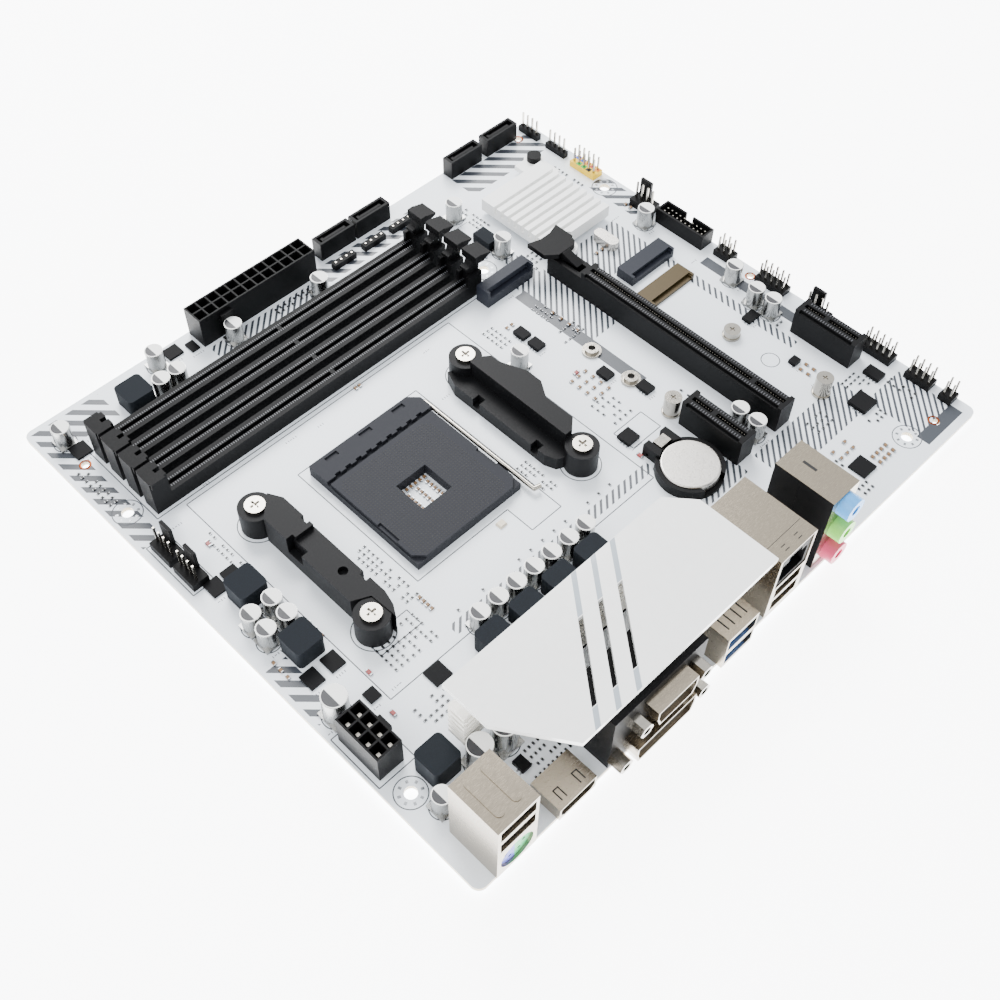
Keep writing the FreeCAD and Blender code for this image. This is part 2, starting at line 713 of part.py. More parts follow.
def chipset_heatsink():
    x1 = sink_x + sink_width
    y1 = sink_y + sink_depth
    body = block(sink_x, x1, sink_y, y1, sink_seat, sink_height)
    grooves = []
    fin_pitch = 3.6
    count = int(sink_depth // fin_pitch) - 1
    for i in range(count):
        y = sink_y + fin_pitch * (i + 1)
        grooves.append(block(sink_x - 1, x1 + 1, y - 0.7, y + 0.7, sink_seat + 2.2, sink_height + 1))
    body = body.cut(grooves)
    ears = []
    for x, y in push_pins:
        ear = post(x, y, sink_seat, sink_seat + 2.0, 4.0)
        near_x = min(max(x, sink_x + 4), x1 - 4)
        near_y = min(max(y, sink_y + 4), y1 - 4)
        arm = block(min(x, near_x) - 2.6, max(x, near_x) + 2.6, min(y, near_y) - 2.6, max(y, near_y) + 2.6,
                    sink_seat, sink_seat + 2.0)
        ears += [ear, arm]
    holes = [post(x, y, 0, sink_height, push_pin_radius + bearing_gap) for x, y in push_pins]
    ear_tops = [post(x, y, sink_seat + 2.0, sink_height + 1, 4.6) for x, y in push_pins]
    save("chipset_heatsink", joined([body] + ears).cut(holes + ear_tops))


def chipset_push_pins():
    z = sink_seat + 2.0
    pins = []
    for x, y in push_pins:
        pins.append(joined([post(x, y, z, z + 2.4, 2.8), post(x, y, -board_thickness, z, push_pin_radius)]))
    save("chipset_push_pins", *pins)


# ---- Power stage: transistors, chokes, heatsink and its cover --------------------------------
mosfet_height = 1.0
vrm_base_z = mosfet_height + 0.5
vrm_fin_z = 6.0
vrm_fin_thickness = 1.5
vrm_fin_pitch = 2.8
vrm_fin_count = 6
vrm_top = vrm_cover_height - vrm_cover_thickness


def thermal_pad():
    x0 = vrm_cover_left + 22.5
    x1 = vrm_cover_right - 9.0
    save("thermal_pad", block(x0, x1, vrm_cover_depth - 7.5, vrm_cover_depth - 2.0, mosfet_height,
                              vrm_base_z))


def vrm_heatsink():
    x0 = vrm_cover_left + 21.5
    x1 = vrm_cover_right - 8.0
    y1 = vrm_cover_depth - 1.5
    foot = block(x0, x1, vrm_cover_depth - 7.9, y1, vrm_base_z, vrm_fin_z)
    stem = block(vrm_cover_left + 8.0, vrm_cover_right - 5.0, y1 - 4.4, y1, vrm_fin_z, vrm_top)
    stack = [foot, stem]
    for i in range(vrm_fin_count):
        z = vrm_fin_z + vrm_fin_pitch * i
        stack.append(block(vrm_cover_left + 0.2, vrm_cover_right - 1.6, vrm_cover_depth - 7.9, y1,
                           z, z + vrm_fin_thickness))
    save("vrm_heatsink", joined(stack))


slot_count = 3
slot_pitch = 8.0
slot_lean = 17.0
slot_width = 2.1


def heatsink_cover():
    z0 = vrm_top
    z1 = vrm_cover_height
    rear = 1.3
    outline = [(vrm_cover_left, vrm_cover_depth), (vrm_cover_right - 7.5, vrm_cover_depth)]
    outline += [(vrm_cover_right, vrm_cover_depth - 8.7), (vrm_cover_right, rear)]
    outline += [(vrm_cover_left + 14.0, rear), (vrm_cover_left, rear + 20.7)]
    plate = prism(outline, z0, z1)
    slots = []
    for i in range(slot_count):
        x = vrm_cover_left + 40.0 + slot_pitch * i
        far = rear + 26.1
        near = rear + 5.2
        slot = [(x, far), (x + slot_width, far), (x + slot_width - slot_lean, near), (x - slot_lean, near)]
        slots.append(prism(slot, z0 - 1, z1 + 1))
    save("heatsink_cover", plate.cut(slots))


choke_side = 10.0
choke_height = 8.0


def inductors():
    row = [(55.1 + 14.05 * i, 49.0, choke_height) for i in range(4)]
    beside = [(14.4, 114.2, choke_height), (14.2, 88.2, choke_height), (16.7, 33.1, 9.0), (35.6, 200.6, 7.0)]
    side = choke_side
    bodies = [rounded(x - side / 2, x + side / 2, y - side / 2, y + side / 2, 0, h, 1.6)
              for x, y, h in row + beside]
    bodies.append(centred(174.4, 174.6, 5.4, 8.4, 0, 4.0))
    save("inductors", *bodies)


# ---- Capacitors ------------------------------------------------------------------------------
small_can = (3.15, 8.0)
large_can = (4.0, 11.5)


def can(x, y, size):
    radius, height = size
    return joined([centred(x, y, 2 * radius + 0.15, 2 * radius + 0.15, 0, 0.9),
                   post(x, y, 0.9, height, radius)])


def capacitors():
    front_group = [(8.3, front - 12.5), (50.0, front - 5.9), (44.4, front - 17.7), (50.9, front - 17.7)]
    front_group += [(77.2, front - 14.3), (113.1, front - 17.7), (175.3, front - 22.2)]
    left_group = [(8.6, 104.3), (16.5, 104.3), (8.6, 97.2), (16.5, 97.2), (9.7, 24.0)]
    middle_group = [(139.3, 122.5), (175.1, 166.7), (173.4, 53.7), (173.4, 46.4)]
    right_group = [(right - 11.2, 140.3), (right - 11.0, 97.8), (right - 14.5, 85.0), (right - 14.5, 77.5)]
    row = [(57.0 + 7.6 * i, 57.8) for i in range(7)]
    small = front_group + left_group + middle_group + right_group + row
    cans = [can(x, y, small_can) for x, y in small]
    large = [(7.4, 65.0), (vrm_cover_left + 1.6, 26.2), (vrm_cover_left + 10.8, 25.8)]
    cans += [can(x, y, large_can) for x, y in large]
    save("capacitors", *cans)


# ---- Integrated circuits and the crystal -----------------------------------------------------
def integrated_circuits():
    flat = [(10.0, front - 18.9, 5.8, 5.8), (57.4, front - 4.4, 5.7, 5.2), (64.0, front - 6.9, 3.2, 4.6)]
    flat += [(9.0, 123.2, 5.3, 6.0), (15.3, 123.2, 5.3, 6.0), (9.7, 78.7, 5.2, 6.0), (17.6, 78.9, 5.2, 6.0)]
    flat += [(18.5, 62.7, 4.0, 4.2), (36.7, 54.5, 6.2, 6.2), (188.0, 13.0, 6.8, 6.8)]
    chips = [centred(x, y, w, d, 0, 0.9) for x, y, w, d in flat]
    small = [(150.5, 132.2, 4.0, 5.2), (150.5, 125.1, 4.0, 5.2), (157.6, 99.0, 4.0, 5.2),
             (162.9, 85.2, 4.0, 5.2)]
    small += [(142.3, 74.7, 5.4, 5.4), (right - 21.2, 81.0, 5.5, 3.7), (209.2, 57.0, 3.4, 3.0),
              (33.8, 17.5, 3.4, 4.4)]
    small += [(right - 11.9, 34.2, 4.4, 6.5)]
    small.append((210.6, 29.3, 7.2, 7.2))
    chips += [centred(x, y, w, d, 0, 1.6) for x, y, w, d in small]
    for i in range(8):
        x = vrm_cover_left + 26.0 + 7.8 * i
        chips.append(centred(x, vrm_cover_depth - 5.0, 5.2, 6.0, 0, mosfet_height))
    save("integrated_circuits", *chips)
    save("crystal", rounded(204.4, 208.9, 138.0, 148.8, 0, 3.5, 2.2))


# ---- Rear connectors -------------------------------------------------------------------------
shell_wall = 0.6


def usb_cavity(x, y0, z, depth):
    return block(x - usb_port_width / 2, x + usb_port_width / 2, y0 - 1, y0 + depth,
                 z - usb_port_height / 2, z + usb_port_height / 2)


def usb_tongue(x, y0, z, depth):
    return block(x - 5.6, x + 5.6, y0 + 1.2, y0 + depth, z + 0.1, z + 1.9)


ps2_x = 13.6
ps2_front = -0.5
ps2_z = 7.2
ps2_radius = 6.0
lan_x = 127.95
usb_stack_x = 104.0
usb_stack_front = -2.0
usb_depth = 12.0
hdmi_x = 36.75


def ps2_usb_stack():
    shell = block(ps2_x - 7.4, ps2_x + 7.4, ps2_front, 17.5, 0, io_height)
    round_way = rod(V(ps2_x, ps2_front - 1, ps2_z), V(ps2_x, ps2_front + usb_depth, ps2_z), ps2_radius)
    ports = [usb_cavity(ps2_x, ps2_front, z, usb_depth) for z in (18.2, 25.4)]
    save("ps2_usb_shell", shell.cut([round_way] + ports))
    plug_face = rod(V(ps2_x, ps2_front + 1.0, ps2_z), V(ps2_x, ps2_front + usb_depth, ps2_z), ps2_radius)
    pin_holes = []
    for i in range(6):
        angle = math.radians(60 * i)
        x = ps2_x + 3.4 * math.cos(angle)
        z = ps2_z + 3.4 * math.sin(angle)
        pin_holes.append(rod(V(x, ps2_front, z), V(x, ps2_front + 8, z), 0.6))
    save("ps2_insert", plug_face.cut(pin_holes))


def usb_stack():
    x = usb_stack_x
    shell = block(x - 6.9, x + 6.9, usb_stack_front, 15, 0, 15.6)
    ports = [usb_cavity(x, usb_stack_front, z, usb_depth) for z in (4.2, 11.6)]
    save("usb_stack_shell", shell.cut(ports))


def lan_usb_stack():
    x = lan_x
    shell = block(x - 8.4, x + 8.4, 0, 26.8, 0, io_height)
    ports = [usb_cavity(x, 0, z, usb_depth) for z in (4.0, 10.8)]
    jack_way = block(x - 7.4, x + 7.4, -1, 18, 14.6, io_height - shell_wall)
    save("lan_usb_shell", shell.cut(ports + [jack_way]))
    insert = block(x - 7.4, x + 7.4, 0.4, 18, 14.6, io_height - shell_wall)
    opening = block(x - 5.9, x + 5.9, -1, 14, 16.0, 24.2)
    tab_way = block(x - 3.0, x + 3.0, -1, 14, 24.0, 26.2)
    save("lan_jack_insert", insert.cut([opening, tab_way]))


def port_tongues():
    places = [(ps2_x, ps2_front, z) for z in (18.2, 25.4)]
    places += [(usb_stack_x, usb_stack_front, z) for z in (4.2, 11.6)]
    places += [(lan_x, 0, z) for z in (4.0, 10.8)]
    tongues = [usb_tongue(x, y, z, usb_depth) for x, y, z in places]
    tongues.append(block(hdmi_x - 5.4, hdmi_x + 5.4, 0, 9, 3.2, 4.4))
    save("port_tongues", *tongues)


def hdmi_port():
    x = hdmi_x
    shell = block(x - 7.25, x + 7.25, -1, 10.2, 0, 6.2)
    mouth = [(x - 6.6, 5.6), (x + 6.6, 5.6), (x + 6.6, 2.4), (x + 5.2, 1.0), (x - 5.2, 1.0), (x - 6.6, 2.4)]
    save("hdmi_shell", shell.cut(side_profile(mouth, -2, 9)))


video_left = 50.0
video_right = 88.0
dvi_x = 68.0
dvi_z = 6.4
vga_x = 70.5
vga_z = 19.0


def d_outline(x, z, half_width, half_height, taper):
    top = half_width
    low = half_width - taper
    return [(x - top, z + half_height), (x + top, z + half_height), (x + top, z), (x + low, z - half_height),
            (x - low, z - half_height), (x - top, z)]


def video_stack():
    save("video_bracket", block(video_left, video_right, 0, 17, 0, 26))
    shells = []
    inserts = []
    for x, z, width, height, taper in [(dvi_x, dvi_z, 12.3, 4.2, 1.0), (vga_x, vga_z, 8.3, 4.1, 1.4)]:
        outer = side_profile(d_outline(x, z, width, height, taper), -5, 0)
        inner = side_profile(d_outline(x, z, width - shell_wall, height - shell_wall, taper), -6, 0)
        shells.append(outer.cut(inner))
        inserts.append(side_profile(d_outline(x, z, width - shell_wall, height - shell_wall, taper),
                                    -3.6, 0))
    save("video_shells", *shells)
    save("video_inserts", *inserts)
    nuts = []
    for x, z, reach in [(dvi_x, dvi_z, 16.5), (vga_x, vga_z, 12.5)]:
        for side in (-1, 1):
            centre = x + side * reach
            corners = [(centre + 2.7 * math.cos(math.radians(60 * i)),
                        z + 2.7 * math.sin(math.radians(60 * i)))
                       for i in range(6)]
            bore = rod(V(centre, -6, z), V(centre, 1, z), 1.4)
            nuts.append(side_profile(corners, -5, 0).cut(bore))
    save("hex_nuts", *nuts)


audio_x = 150.35
audio_width = 12.5
jack_z = (6.2, 17.4, 28.6)
jack_radius = 4.0
jack_reach = 4.5
jack_bore_radius = 1.8
audio_front = 1.0
audio_rear = 22.3
audio_height = 33.0
audio_bore_end = 13.0
cover_joint = 0.05


def audio_stack():
    """A housing bored right through, closed behind by its own rear cover."""
    half = audio_width / 2
    left = audio_x - half
    wide = audio_x + half
    housing = block(left, wide, audio_front, audio_bore_end, 0, audio_height)
    bores = [rod(V(audio_x, 0, z), V(audio_x, audio_bore_end + 1, z), jack_bore_radius) for z in jack_z]
    cover = block(left, wide, audio_bore_end + cover_joint, audio_rear, 0, audio_height)
    save("audio_body", housing.cut(bores), cover)
    for name, z in zip(("pink", "green", "blue"), jack_z):
        barrel = rod(V(audio_x, audio_front - jack_reach, z), V(audio_x, audio_front, z), jack_radius)
        way = rod(V(audio_x, audio_front - jack_reach - 1, z), V(audio_x, audio_front + 1, z),
                  jack_bore_radius)
        save(f"audio_jack_{name}", barrel.cut(way))


# ---- Solder legs under the board -------------------------------------------------------------
def solder_legs():
    z1 = -board_thickness
    base_radius = 0.9
    tip_radius = 0.4

    def leg(x, y):
        return Part.makeCone(tip_radius, base_radius, underside_space, V(x, y, z1 - underside_space),
                             V(0, 0, 1))

    rear = [(x, y) for x in (8, 19, 33, 41, 54, 84, 100, 108, 122, 134, 147, 154) for y in (4, 10)]
    front_legs = [(atx_x + 2.4 + 4.2 * i, atx_front - 2.4 - 4.2 * j) for i in range(atx_columns)
                  for j in (0, 1)]
    memory = [(x, dimm_y(slot)) for slot in range(dimm_count)
              for x in (dimm_x + 4, dimm_x + 40, module_end - 40)]
    slot_legs = [(pcie_middle_x + side, pcie_y + 4 + 11.5 * i) for i in range(8) for side in (-2, 2)]
    save("solder_legs", *[leg(x, y) for x, y in rear + front_legs + memory + slot_legs])


# ---- Build -----------------------------------------------------------------------------------
circuit_board()
for index in range(dimm_count):
    dimm_slot(index)
    dimm_latch(index)
pcie_x16_slot()
pcie_x16_latch()
pcie_x1_slots()
cpu_socket_base()
cpu_socket_cover()
cpu_socket_lever()
cooler_bracket_left()
cooler_bracket_right()
bracket_screws()
cooler_backplate()
battery_holder()
coin_cell()
battery_clip()
sata_ports()
pin_headers(power_headers() + usb_front_header())
m2_parts()
chipset()
chipset_heatsink()
chipset_push_pins()
thermal_pad()
vrm_heatsink()
heatsink_cover()
inductors()
capacitors()
integrated_circuits()
ps2_usb_stack()
usb_stack()
lan_usb_stack()
port_tongues()
hdmi_port()
video_stack()
audio_stack()
solder_legs()
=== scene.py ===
# %% [markdown]
# A white desktop circuit board. The measured model already holds every connector, slot and
# moving latch, so this lesson adds what a maker sees close up: printed stripes on the mask,
# contact teeth, chip legs, tiny passives and the finish of each plastic and metal.

# %% Load the measured frame
import bpy
import math
import random
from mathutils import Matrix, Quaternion, Vector


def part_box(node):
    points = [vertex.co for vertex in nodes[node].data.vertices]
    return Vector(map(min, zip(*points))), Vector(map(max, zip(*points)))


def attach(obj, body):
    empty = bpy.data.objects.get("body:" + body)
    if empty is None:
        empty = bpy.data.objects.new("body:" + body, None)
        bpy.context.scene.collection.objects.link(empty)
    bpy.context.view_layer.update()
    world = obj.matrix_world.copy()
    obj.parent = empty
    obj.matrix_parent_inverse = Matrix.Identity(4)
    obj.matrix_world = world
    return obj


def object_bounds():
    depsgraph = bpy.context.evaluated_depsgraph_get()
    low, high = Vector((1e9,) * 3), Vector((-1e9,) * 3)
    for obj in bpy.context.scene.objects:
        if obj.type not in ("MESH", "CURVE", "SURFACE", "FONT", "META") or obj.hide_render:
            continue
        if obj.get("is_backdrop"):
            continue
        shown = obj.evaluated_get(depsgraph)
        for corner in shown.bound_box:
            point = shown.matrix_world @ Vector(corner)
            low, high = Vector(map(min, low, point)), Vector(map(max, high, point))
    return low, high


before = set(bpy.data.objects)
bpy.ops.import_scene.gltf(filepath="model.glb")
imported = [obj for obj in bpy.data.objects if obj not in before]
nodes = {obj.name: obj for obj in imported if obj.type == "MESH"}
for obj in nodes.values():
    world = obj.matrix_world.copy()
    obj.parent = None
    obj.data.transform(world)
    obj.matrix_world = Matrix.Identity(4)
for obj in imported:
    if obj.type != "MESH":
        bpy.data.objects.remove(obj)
cad_low, cad_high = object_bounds()
print("nodes", len(nodes), "size mm", [round(v * 1000, 1) for v in cad_high - cad_low])

# %% [markdown]
# A board designer gives places in millimetres from the board's rear left corner, with height
# measured from the board's top face. One helper turns those into the frame's metres, so the
# numbers below read like a drawing. It takes its start from the board itself.

# %% Millimetres on the board
MM = 0.001
board_low, board_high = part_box("circuit_board")


def at(x, y, z=0.0):
    return Vector((board_low[0] + x * MM, board_low[1] + y * MM, board_high[2] + z * MM))


def box_mm(node):
    """A node's lowest and highest corner in board millimetres."""
    low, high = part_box(node)
    start = at(0, 0, 0)
    return (Vector(low) - start) / MM, (Vector(high) - start) / MM


board_size = box_mm("circuit_board")[1]
print("board", [round(v, 1) for v in board_size])

# %% [markdown]
# The camera looks down on the board from beyond its rear left corner, as a product picture
# does. It is placed, aimed at a point on the board and rolled a little.

# %% Camera
camera_place = Vector((-0.08786, -0.11623, 0.33321))
camera_aim = Vector((0.08761, 0.05339, 0.0016))
camera_roll = math.radians(1.336)
bpy.ops.object.select_all(action="DESELECT")
bpy.ops.object.camera_add(location=camera_place)
camera = bpy.context.object
turn = (camera_aim - camera_place).to_track_quat("-Z", "Y") @ Quaternion((0, 0, 1), camera_roll)
camera.rotation_euler = turn.to_euler()
camera.data.sensor_width = 36
camera.data.lens = 46.386
camera.data.clip_start = 0.01
bpy.context.scene.camera = camera
print("camera aimed from", [round(v, 3) for v in camera_place])

# %% [markdown]
# A white sweep and large soft lights keep the shadows faint. A bright surrounding world fills
# the undersides, and one wide lamp above the far side puts a sheen on metal and gloss.

# %% Floor and light
def srgb(code):
    """A hex colour as the linear values Blender works in."""
    parts = [int(code[i:i + 2], 16) / 255 for i in (1, 3, 5)]
    return [p / 12.92 if p <= 0.04045 else ((p + 0.055) / 1.055) ** 2.4 for p in parts] + [1.0]


def add(tree, kind, values=None, links=None):
    """Adds a shader node, sets its values and links its sockets."""
    node = tree.nodes.new("ShaderNode" + kind)
    for name, value in (values or {}).items():
        if isinstance(name, str) and name in node.bl_rna.properties:
            setattr(node, name, value)
        else:
            node.inputs[name].default_value = value
    for name, socket in (links or {}).items():
        tree.links.new(socket, node.inputs[name])
    return node


world = bpy.data.worlds.new("white_studio")
world.use_nodes = True
world.node_tree.nodes["Background"].inputs["Color"].default_value = srgb("#F4F7FA")
world.node_tree.nodes["Background"].inputs["Strength"].default_value = 1.9
bpy.context.scene.world = world


def soft_lamp(name, place, size, watts):
    bpy.ops.object.light_add(type="AREA", location=place)
    lamp = bpy.context.object
    lamp.name = name
    lamp.data.size = size
    lamp.data.energy = watts
    aim = Vector((0.11, 0.07, 0)) - Vector(place)
    lamp.rotation_euler = aim.to_track_quat("-Z", "Y").to_euler()


soft_lamp("key_lamp", (0.45, 0.65, 0.75), 0.5, 16.0)
soft_lamp("fill_lamp", (-0.6, 0.1, 0.6), 0.8, 6.0)

# %% [markdown]
# Most finishes here are one of two kinds: moulded plastic with a fine spark-eroded grain, or
# plated metal with faint rolling marks. One recipe builds both: a noise whose grain is given
# in millimetres shifts the tone, the roughness and the relief together.

# %% The recipe for a finish
def finish(name, colour, roughness, metallic=0.0, grain=0.5, relief=0.008, mottle=0.07,
           stretch=(1, 1, 1), coat=0.0, shine=0.5):
    """grain and relief are in millimetres; stretch draws the grain out along an axis."""
    material = bpy.data.materials.new(name)
    material.use_nodes = True
    tree = material.node_tree
    shader = tree.nodes["Principled BSDF"]
    shader.inputs["Metallic"].default_value = metallic
    shader.inputs["Coat Weight"].default_value = coat
    shader.inputs["Coat Roughness"].default_value = 0.12
    shader.inputs["Specular IOR Level"].default_value = shine
    where = add(tree, "TexCoord")
    lay = add(tree, "Mapping", {"Scale": stretch}, {"Vector": where.outputs["Object"]})
    noise = add(tree, "TexNoise", {"Scale": 1 / (grain * MM), "Detail": 3.0},
                {"Vector": lay.outputs["Vector"]})
    tone = add(tree, "ValToRGB", None, {"Fac": noise.outputs["Fac"]})
    base = srgb(colour)
    tone.color_ramp.elements[0].position = 0.3
    tone.color_ramp.elements[1].position = 0.7
    tone.color_ramp.elements[0].color = [c * (1 - mottle) for c in base[:3]] + [1]
    tone.color_ramp.elements[1].color = [min(1, c * (1 + mottle)) for c in base[:3]] + [1]
    tree.links.new(tone.outputs["Color"], shader.inputs["Base Color"])
    rough = add(tree, "MapRange", {"From Min": 0.3, "From Max": 0.7, "To Min": roughness - 0.05,
                                   "To Max": roughness + 0.05}, {"Value": noise.outputs["Fac"]})
    tree.links.new(rough.outputs["Result"], shader.inputs["Roughness"])
    bump = add(tree, "Bump", {"Strength": 0.6, "Distance": relief * MM},
               {"Height": noise.outputs["Fac"]})
    tree.links.new(bump.outputs["Normal"], shader.inputs["Normal"])
    return material


# %% [markdown]
# Most of the parts are injection moulded. Each plastic starts from its real kind and is then
# darkened or tinted until it sits right beside its neighbours under the same lamps.

# %% Plastics
# nylon from a spark-eroded mould: deep black with a faint even grain
black_nylon = finish("black_moulded_nylon", "#060607", 0.52, grain=0.35, shine=0.12)
# glass-filled nylon: a shade greyer, and its bevels catch a soft light
bracket_nylon = finish("bracket_nylon", "#09090B", 0.5, grain=0.4, shine=0.14)
# liquid crystal polymer, moulded very thin: flat slate grey, little sheen
slate_polymer = finish("slate_liquid_crystal_polymer", "#232429", 0.55, grain=0.3, shine=0.12)
# the same family of polymer, tinted a dark blue grey
card_polymer = finish("blue_grey_polymer", "#1A1D26", 0.5, grain=0.3, shine=0.2)
# gold flash over a moulding: a dull olive bronze
bronze_polymer = finish("gold_flashed_cover", "#3E3219", 0.42, metallic=0.5, grain=0.3)
# dyed nylon: a strong flat yellow that picks the header out
yellow_nylon = finish("yellow_nylon", "#F0C400", 0.45, grain=0.3, mottle=0.04)
# moulded contact carriers: near black, unless zoned blue below
tongue_polymer = finish("port_tongue_polymer", "#17181B", 0.42, grain=0.3)
# moulded video insert: a warm near black inside its shell
insert_polymer = finish("video_insert_polymer", "#2A2622", 0.45, grain=0.3)
# dyed plastic rings: clear sky blue, lime green and pink with a soft shine
jack_blue = finish("blue_jack_ring", "#3F8FD0", 0.36, grain=0.5)
jack_green = finish("green_jack_ring", "#7CC850", 0.36, grain=0.5)
jack_pink = finish("pink_jack_ring", "#D0446A", 0.36, grain=0.5)
# dyed round port: violet, with a green half zoned below
keyboard_polymer = finish("violet_port_polymer", "#5A62C0", 0.4, grain=0.4)
# sprayed and lacquered ABS: a smooth white that mirrors the lamps
gloss_white = finish("glossy_white_cover", "#F4F4F2", 0.16, grain=2.0, relief=0.002, mottle=0.01,
                     coat=0.5)
# transfer-moulded epoxy with silica: a dry matt black
epoxy = finish("black_chip_epoxy", "#08080A", 0.6, grain=0.18, relief=0.01, shine=0.12)
# filled silicone pad: soft matt grey
silicone = finish("grey_silicone_pad", "#9AA3AB", 0.7, grain=0.4)
# iron powder pressed in a die: dark blue grey with a coarse sandy speckle
iron_powder = finish("pressed_iron_powder", "#14181D", 0.7, grain=0.22, relief=0.03,
                     mottle=0.3, shine=0.12)


def zone(material, x0, x1, colour):
    """Another colour between two places along the board, in millimetres."""
    tree = material.node_tree
    base = tree.nodes["Principled BSDF"].inputs["Base Color"]
    place = add(tree, "SeparateXYZ", None, {"Vector": add(tree, "TexCoord").outputs["Object"]})
    settings = {"operation": "COMPARE", 1: at((x0 + x1) / 2, 0).x, 2: (x1 - x0) / 2 * MM}
    within = add(tree, "Math", settings, {0: place.outputs["X"]})
    mix = add(tree, "MixRGB", {"Color2": srgb(colour)},
              {"Fac": within.outputs[0], "Color1": base.links[0].from_socket})
    tree.links.new(mix.outputs["Color"], base)


# keyboards use violet and mice green; only the fast ports have blue tongues
zone(keyboard_polymer, 13.6, 22.0, "#2FA866")
zone(tongue_polymer, 97.0, 111.0, "#2C64B4")
print("plastics ready")

# %% [markdown]
# The metals are sheet, wire and drawn cans. A metal keeps the usual index of refraction, and
# only its tint, its roughness and the way its marks run tell one from another.

# %% Metals and paints
# rolled brass sheet plated with nickel: warm grey, drawn out along the roll
warm_nickel = finish("nickel_plated_shell", "#968C7C", 0.24, 1.0, grain=1.4, relief=0.0015,
                     stretch=(1, 6, 1), mottle=0.03)
# turned or wire parts in bright nickel: crisp highlights
bright_nickel = finish("bright_nickel", "#A5A097", 0.2, 1.0, grain=0.8, relief=0.002, mottle=0.03)
# zinc plated steel plate: cooler and duller than nickel
zinc = finish("zinc_plated_steel", "#B9BCC0", 0.34, 1.0, grain=1.2)
# deep drawn aluminium: faint upright draw lines round each can
can_aluminium = finish("drawn_aluminium_can", "#A2A2A0", 0.26, 1.0, grain=0.6, relief=0.002,
                       stretch=(1, 1, 0.15), mottle=0.04)
# stamped stainless shell: a satin face
cell_steel = finish("stamped_cell_steel", "#C4C0BA", 0.3, 1.0, grain=0.4, mottle=0.04)
# reflowed tin on copper: small pale glints
tin = finish("tinned_copper", "#94979A", 0.28, 1.0, grain=0.3)
# powder coat on a cast heatsink: warm off-white
cream_paint = finish("cream_powder_coat", "#EDEAE2", 0.42, grain=0.5, relief=0.012, mottle=0.02)
# powder coat on a cast heatsink: cooler white
white_paint = finish("white_powder_coat", "#F1F1EF", 0.4, grain=0.5, relief=0.01, mottle=0.02)
# white ink on the can lid: matt and even
cap_white = finish("white_sleeve_print", "#EFEFEC", 0.45, grain=0.5, mottle=0.02)
# contact rows deep in a slot: almost lost in shadow
contact_black = finish("shaded_contact_row", "#34353A", 0.5, grain=0.3)
# tinned contact tips: a dull row of grey points
contact_ivory = finish("tinned_contact_tip", "#8F8A80", 0.35, 0.8, grain=0.3)
# black ink half moon: the negative mark
cap_black = finish("black_sleeve_print", "#26262A", 0.5, grain=0.5)
print("metals and paints ready")

# %% [markdown]
# The measured parts already have their shape, so they only need dressing. One table lists the
# parts under each finish, as a painter's schedule does, and a loop hangs the finish on them.

# %% Dress every node of the frame
dress = {
    black_nylon: ["pcie_x16_slot", "pcie_x16_latch", "pcie_x1_slots", "battery_holder",
                  "atx_power_header", "cpu_power_header", "sata_ports", "pin_header_bases",
                  "fan_headers", "usb_front_header", "lan_jack_insert", "audio_body",
                  "video_bracket", "chipset_push_pins"],
    bracket_nylon: ["cooler_bracket_left", "cooler_bracket_right"],
    slate_polymer: ["cpu_socket_base", "cpu_socket_cover"],
    card_polymer: ["m2_slots"],
    bronze_polymer: ["m2_slot_wireless"],
    yellow_nylon: ["front_panel_header"],
    tongue_polymer: ["port_tongues"],
    insert_polymer: ["video_inserts"],
    jack_blue: ["audio_jack_blue"],
    jack_green: ["audio_jack_green"],
    jack_pink: ["audio_jack_pink"],
    keyboard_polymer: ["ps2_insert"],
    gloss_white: ["heatsink_cover"],
    epoxy: ["integrated_circuits", "chipset"],
    silicone: ["thermal_pad"],
    iron_powder: ["inductors"],
    warm_nickel: ["ps2_usb_shell", "usb_stack_shell", "lan_usb_shell", "hdmi_shell", "video_shells"],
    bright_nickel: ["cpu_socket_lever", "bracket_screws", "battery_clip", "m2_standoffs",
                    "m2_screws", "hex_nuts", "header_pins"],
    zinc: ["cooler_backplate"],
    can_aluminium: ["capacitors"],
    cell_steel: ["coin_cell", "crystal"],
    tin: ["solder_legs"],
    cream_paint: ["vrm_heatsink"],
    white_paint: ["chipset_heatsink"],
}
for index in range(1, 5):
    dress[black_nylon] += [f"dimm_slot_{index}", f"dimm_latch_{index}"]
for material, names in dress.items():
    for name in names:
        nodes[name].data.materials.clear()
        nodes[name].data.materials.append(material)
print("dressed", sum(len(names) for names in dress.values()))

# %% [markdown]
# The board is glass cloth in epoxy under a white mask. Its print is a screened grey: stripes
# that lean at 45 degrees and plain areas. Screen print has no thickness worth modelling, so it
# is worked out in the material from the place on the board, one region at a time.

# %% Board mask and print
board_material = bpy.data.materials.new("white_solder_mask")
board_material.use_nodes = True
tree = board_material.node_tree
where = add(tree, "TexCoord")
start = at(0, 0, 0)
lay = add(tree, "Mapping", {"Location": -start / MM, "Scale": (1 / MM,) * 3},
          {"Vector": where.outputs["Object"]})
axes = add(tree, "SeparateXYZ", None, {"Vector": lay.outputs["Vector"]})
along, across = axes.outputs["X"], axes.outputs["Y"]


def maths(operation, a, b=None, c=None):
    """One arithmetic step on numbers or sockets."""
    numbers, sockets = {"operation": operation}, {}
    for slot_index, value in enumerate((a, b, c)):
        if value is None:
            continue
        if isinstance(value, (int, float)):
            numbers[slot_index] = value
        else:
            sockets[slot_index] = value
    return add(tree, "Math", numbers, sockets).outputs[0]


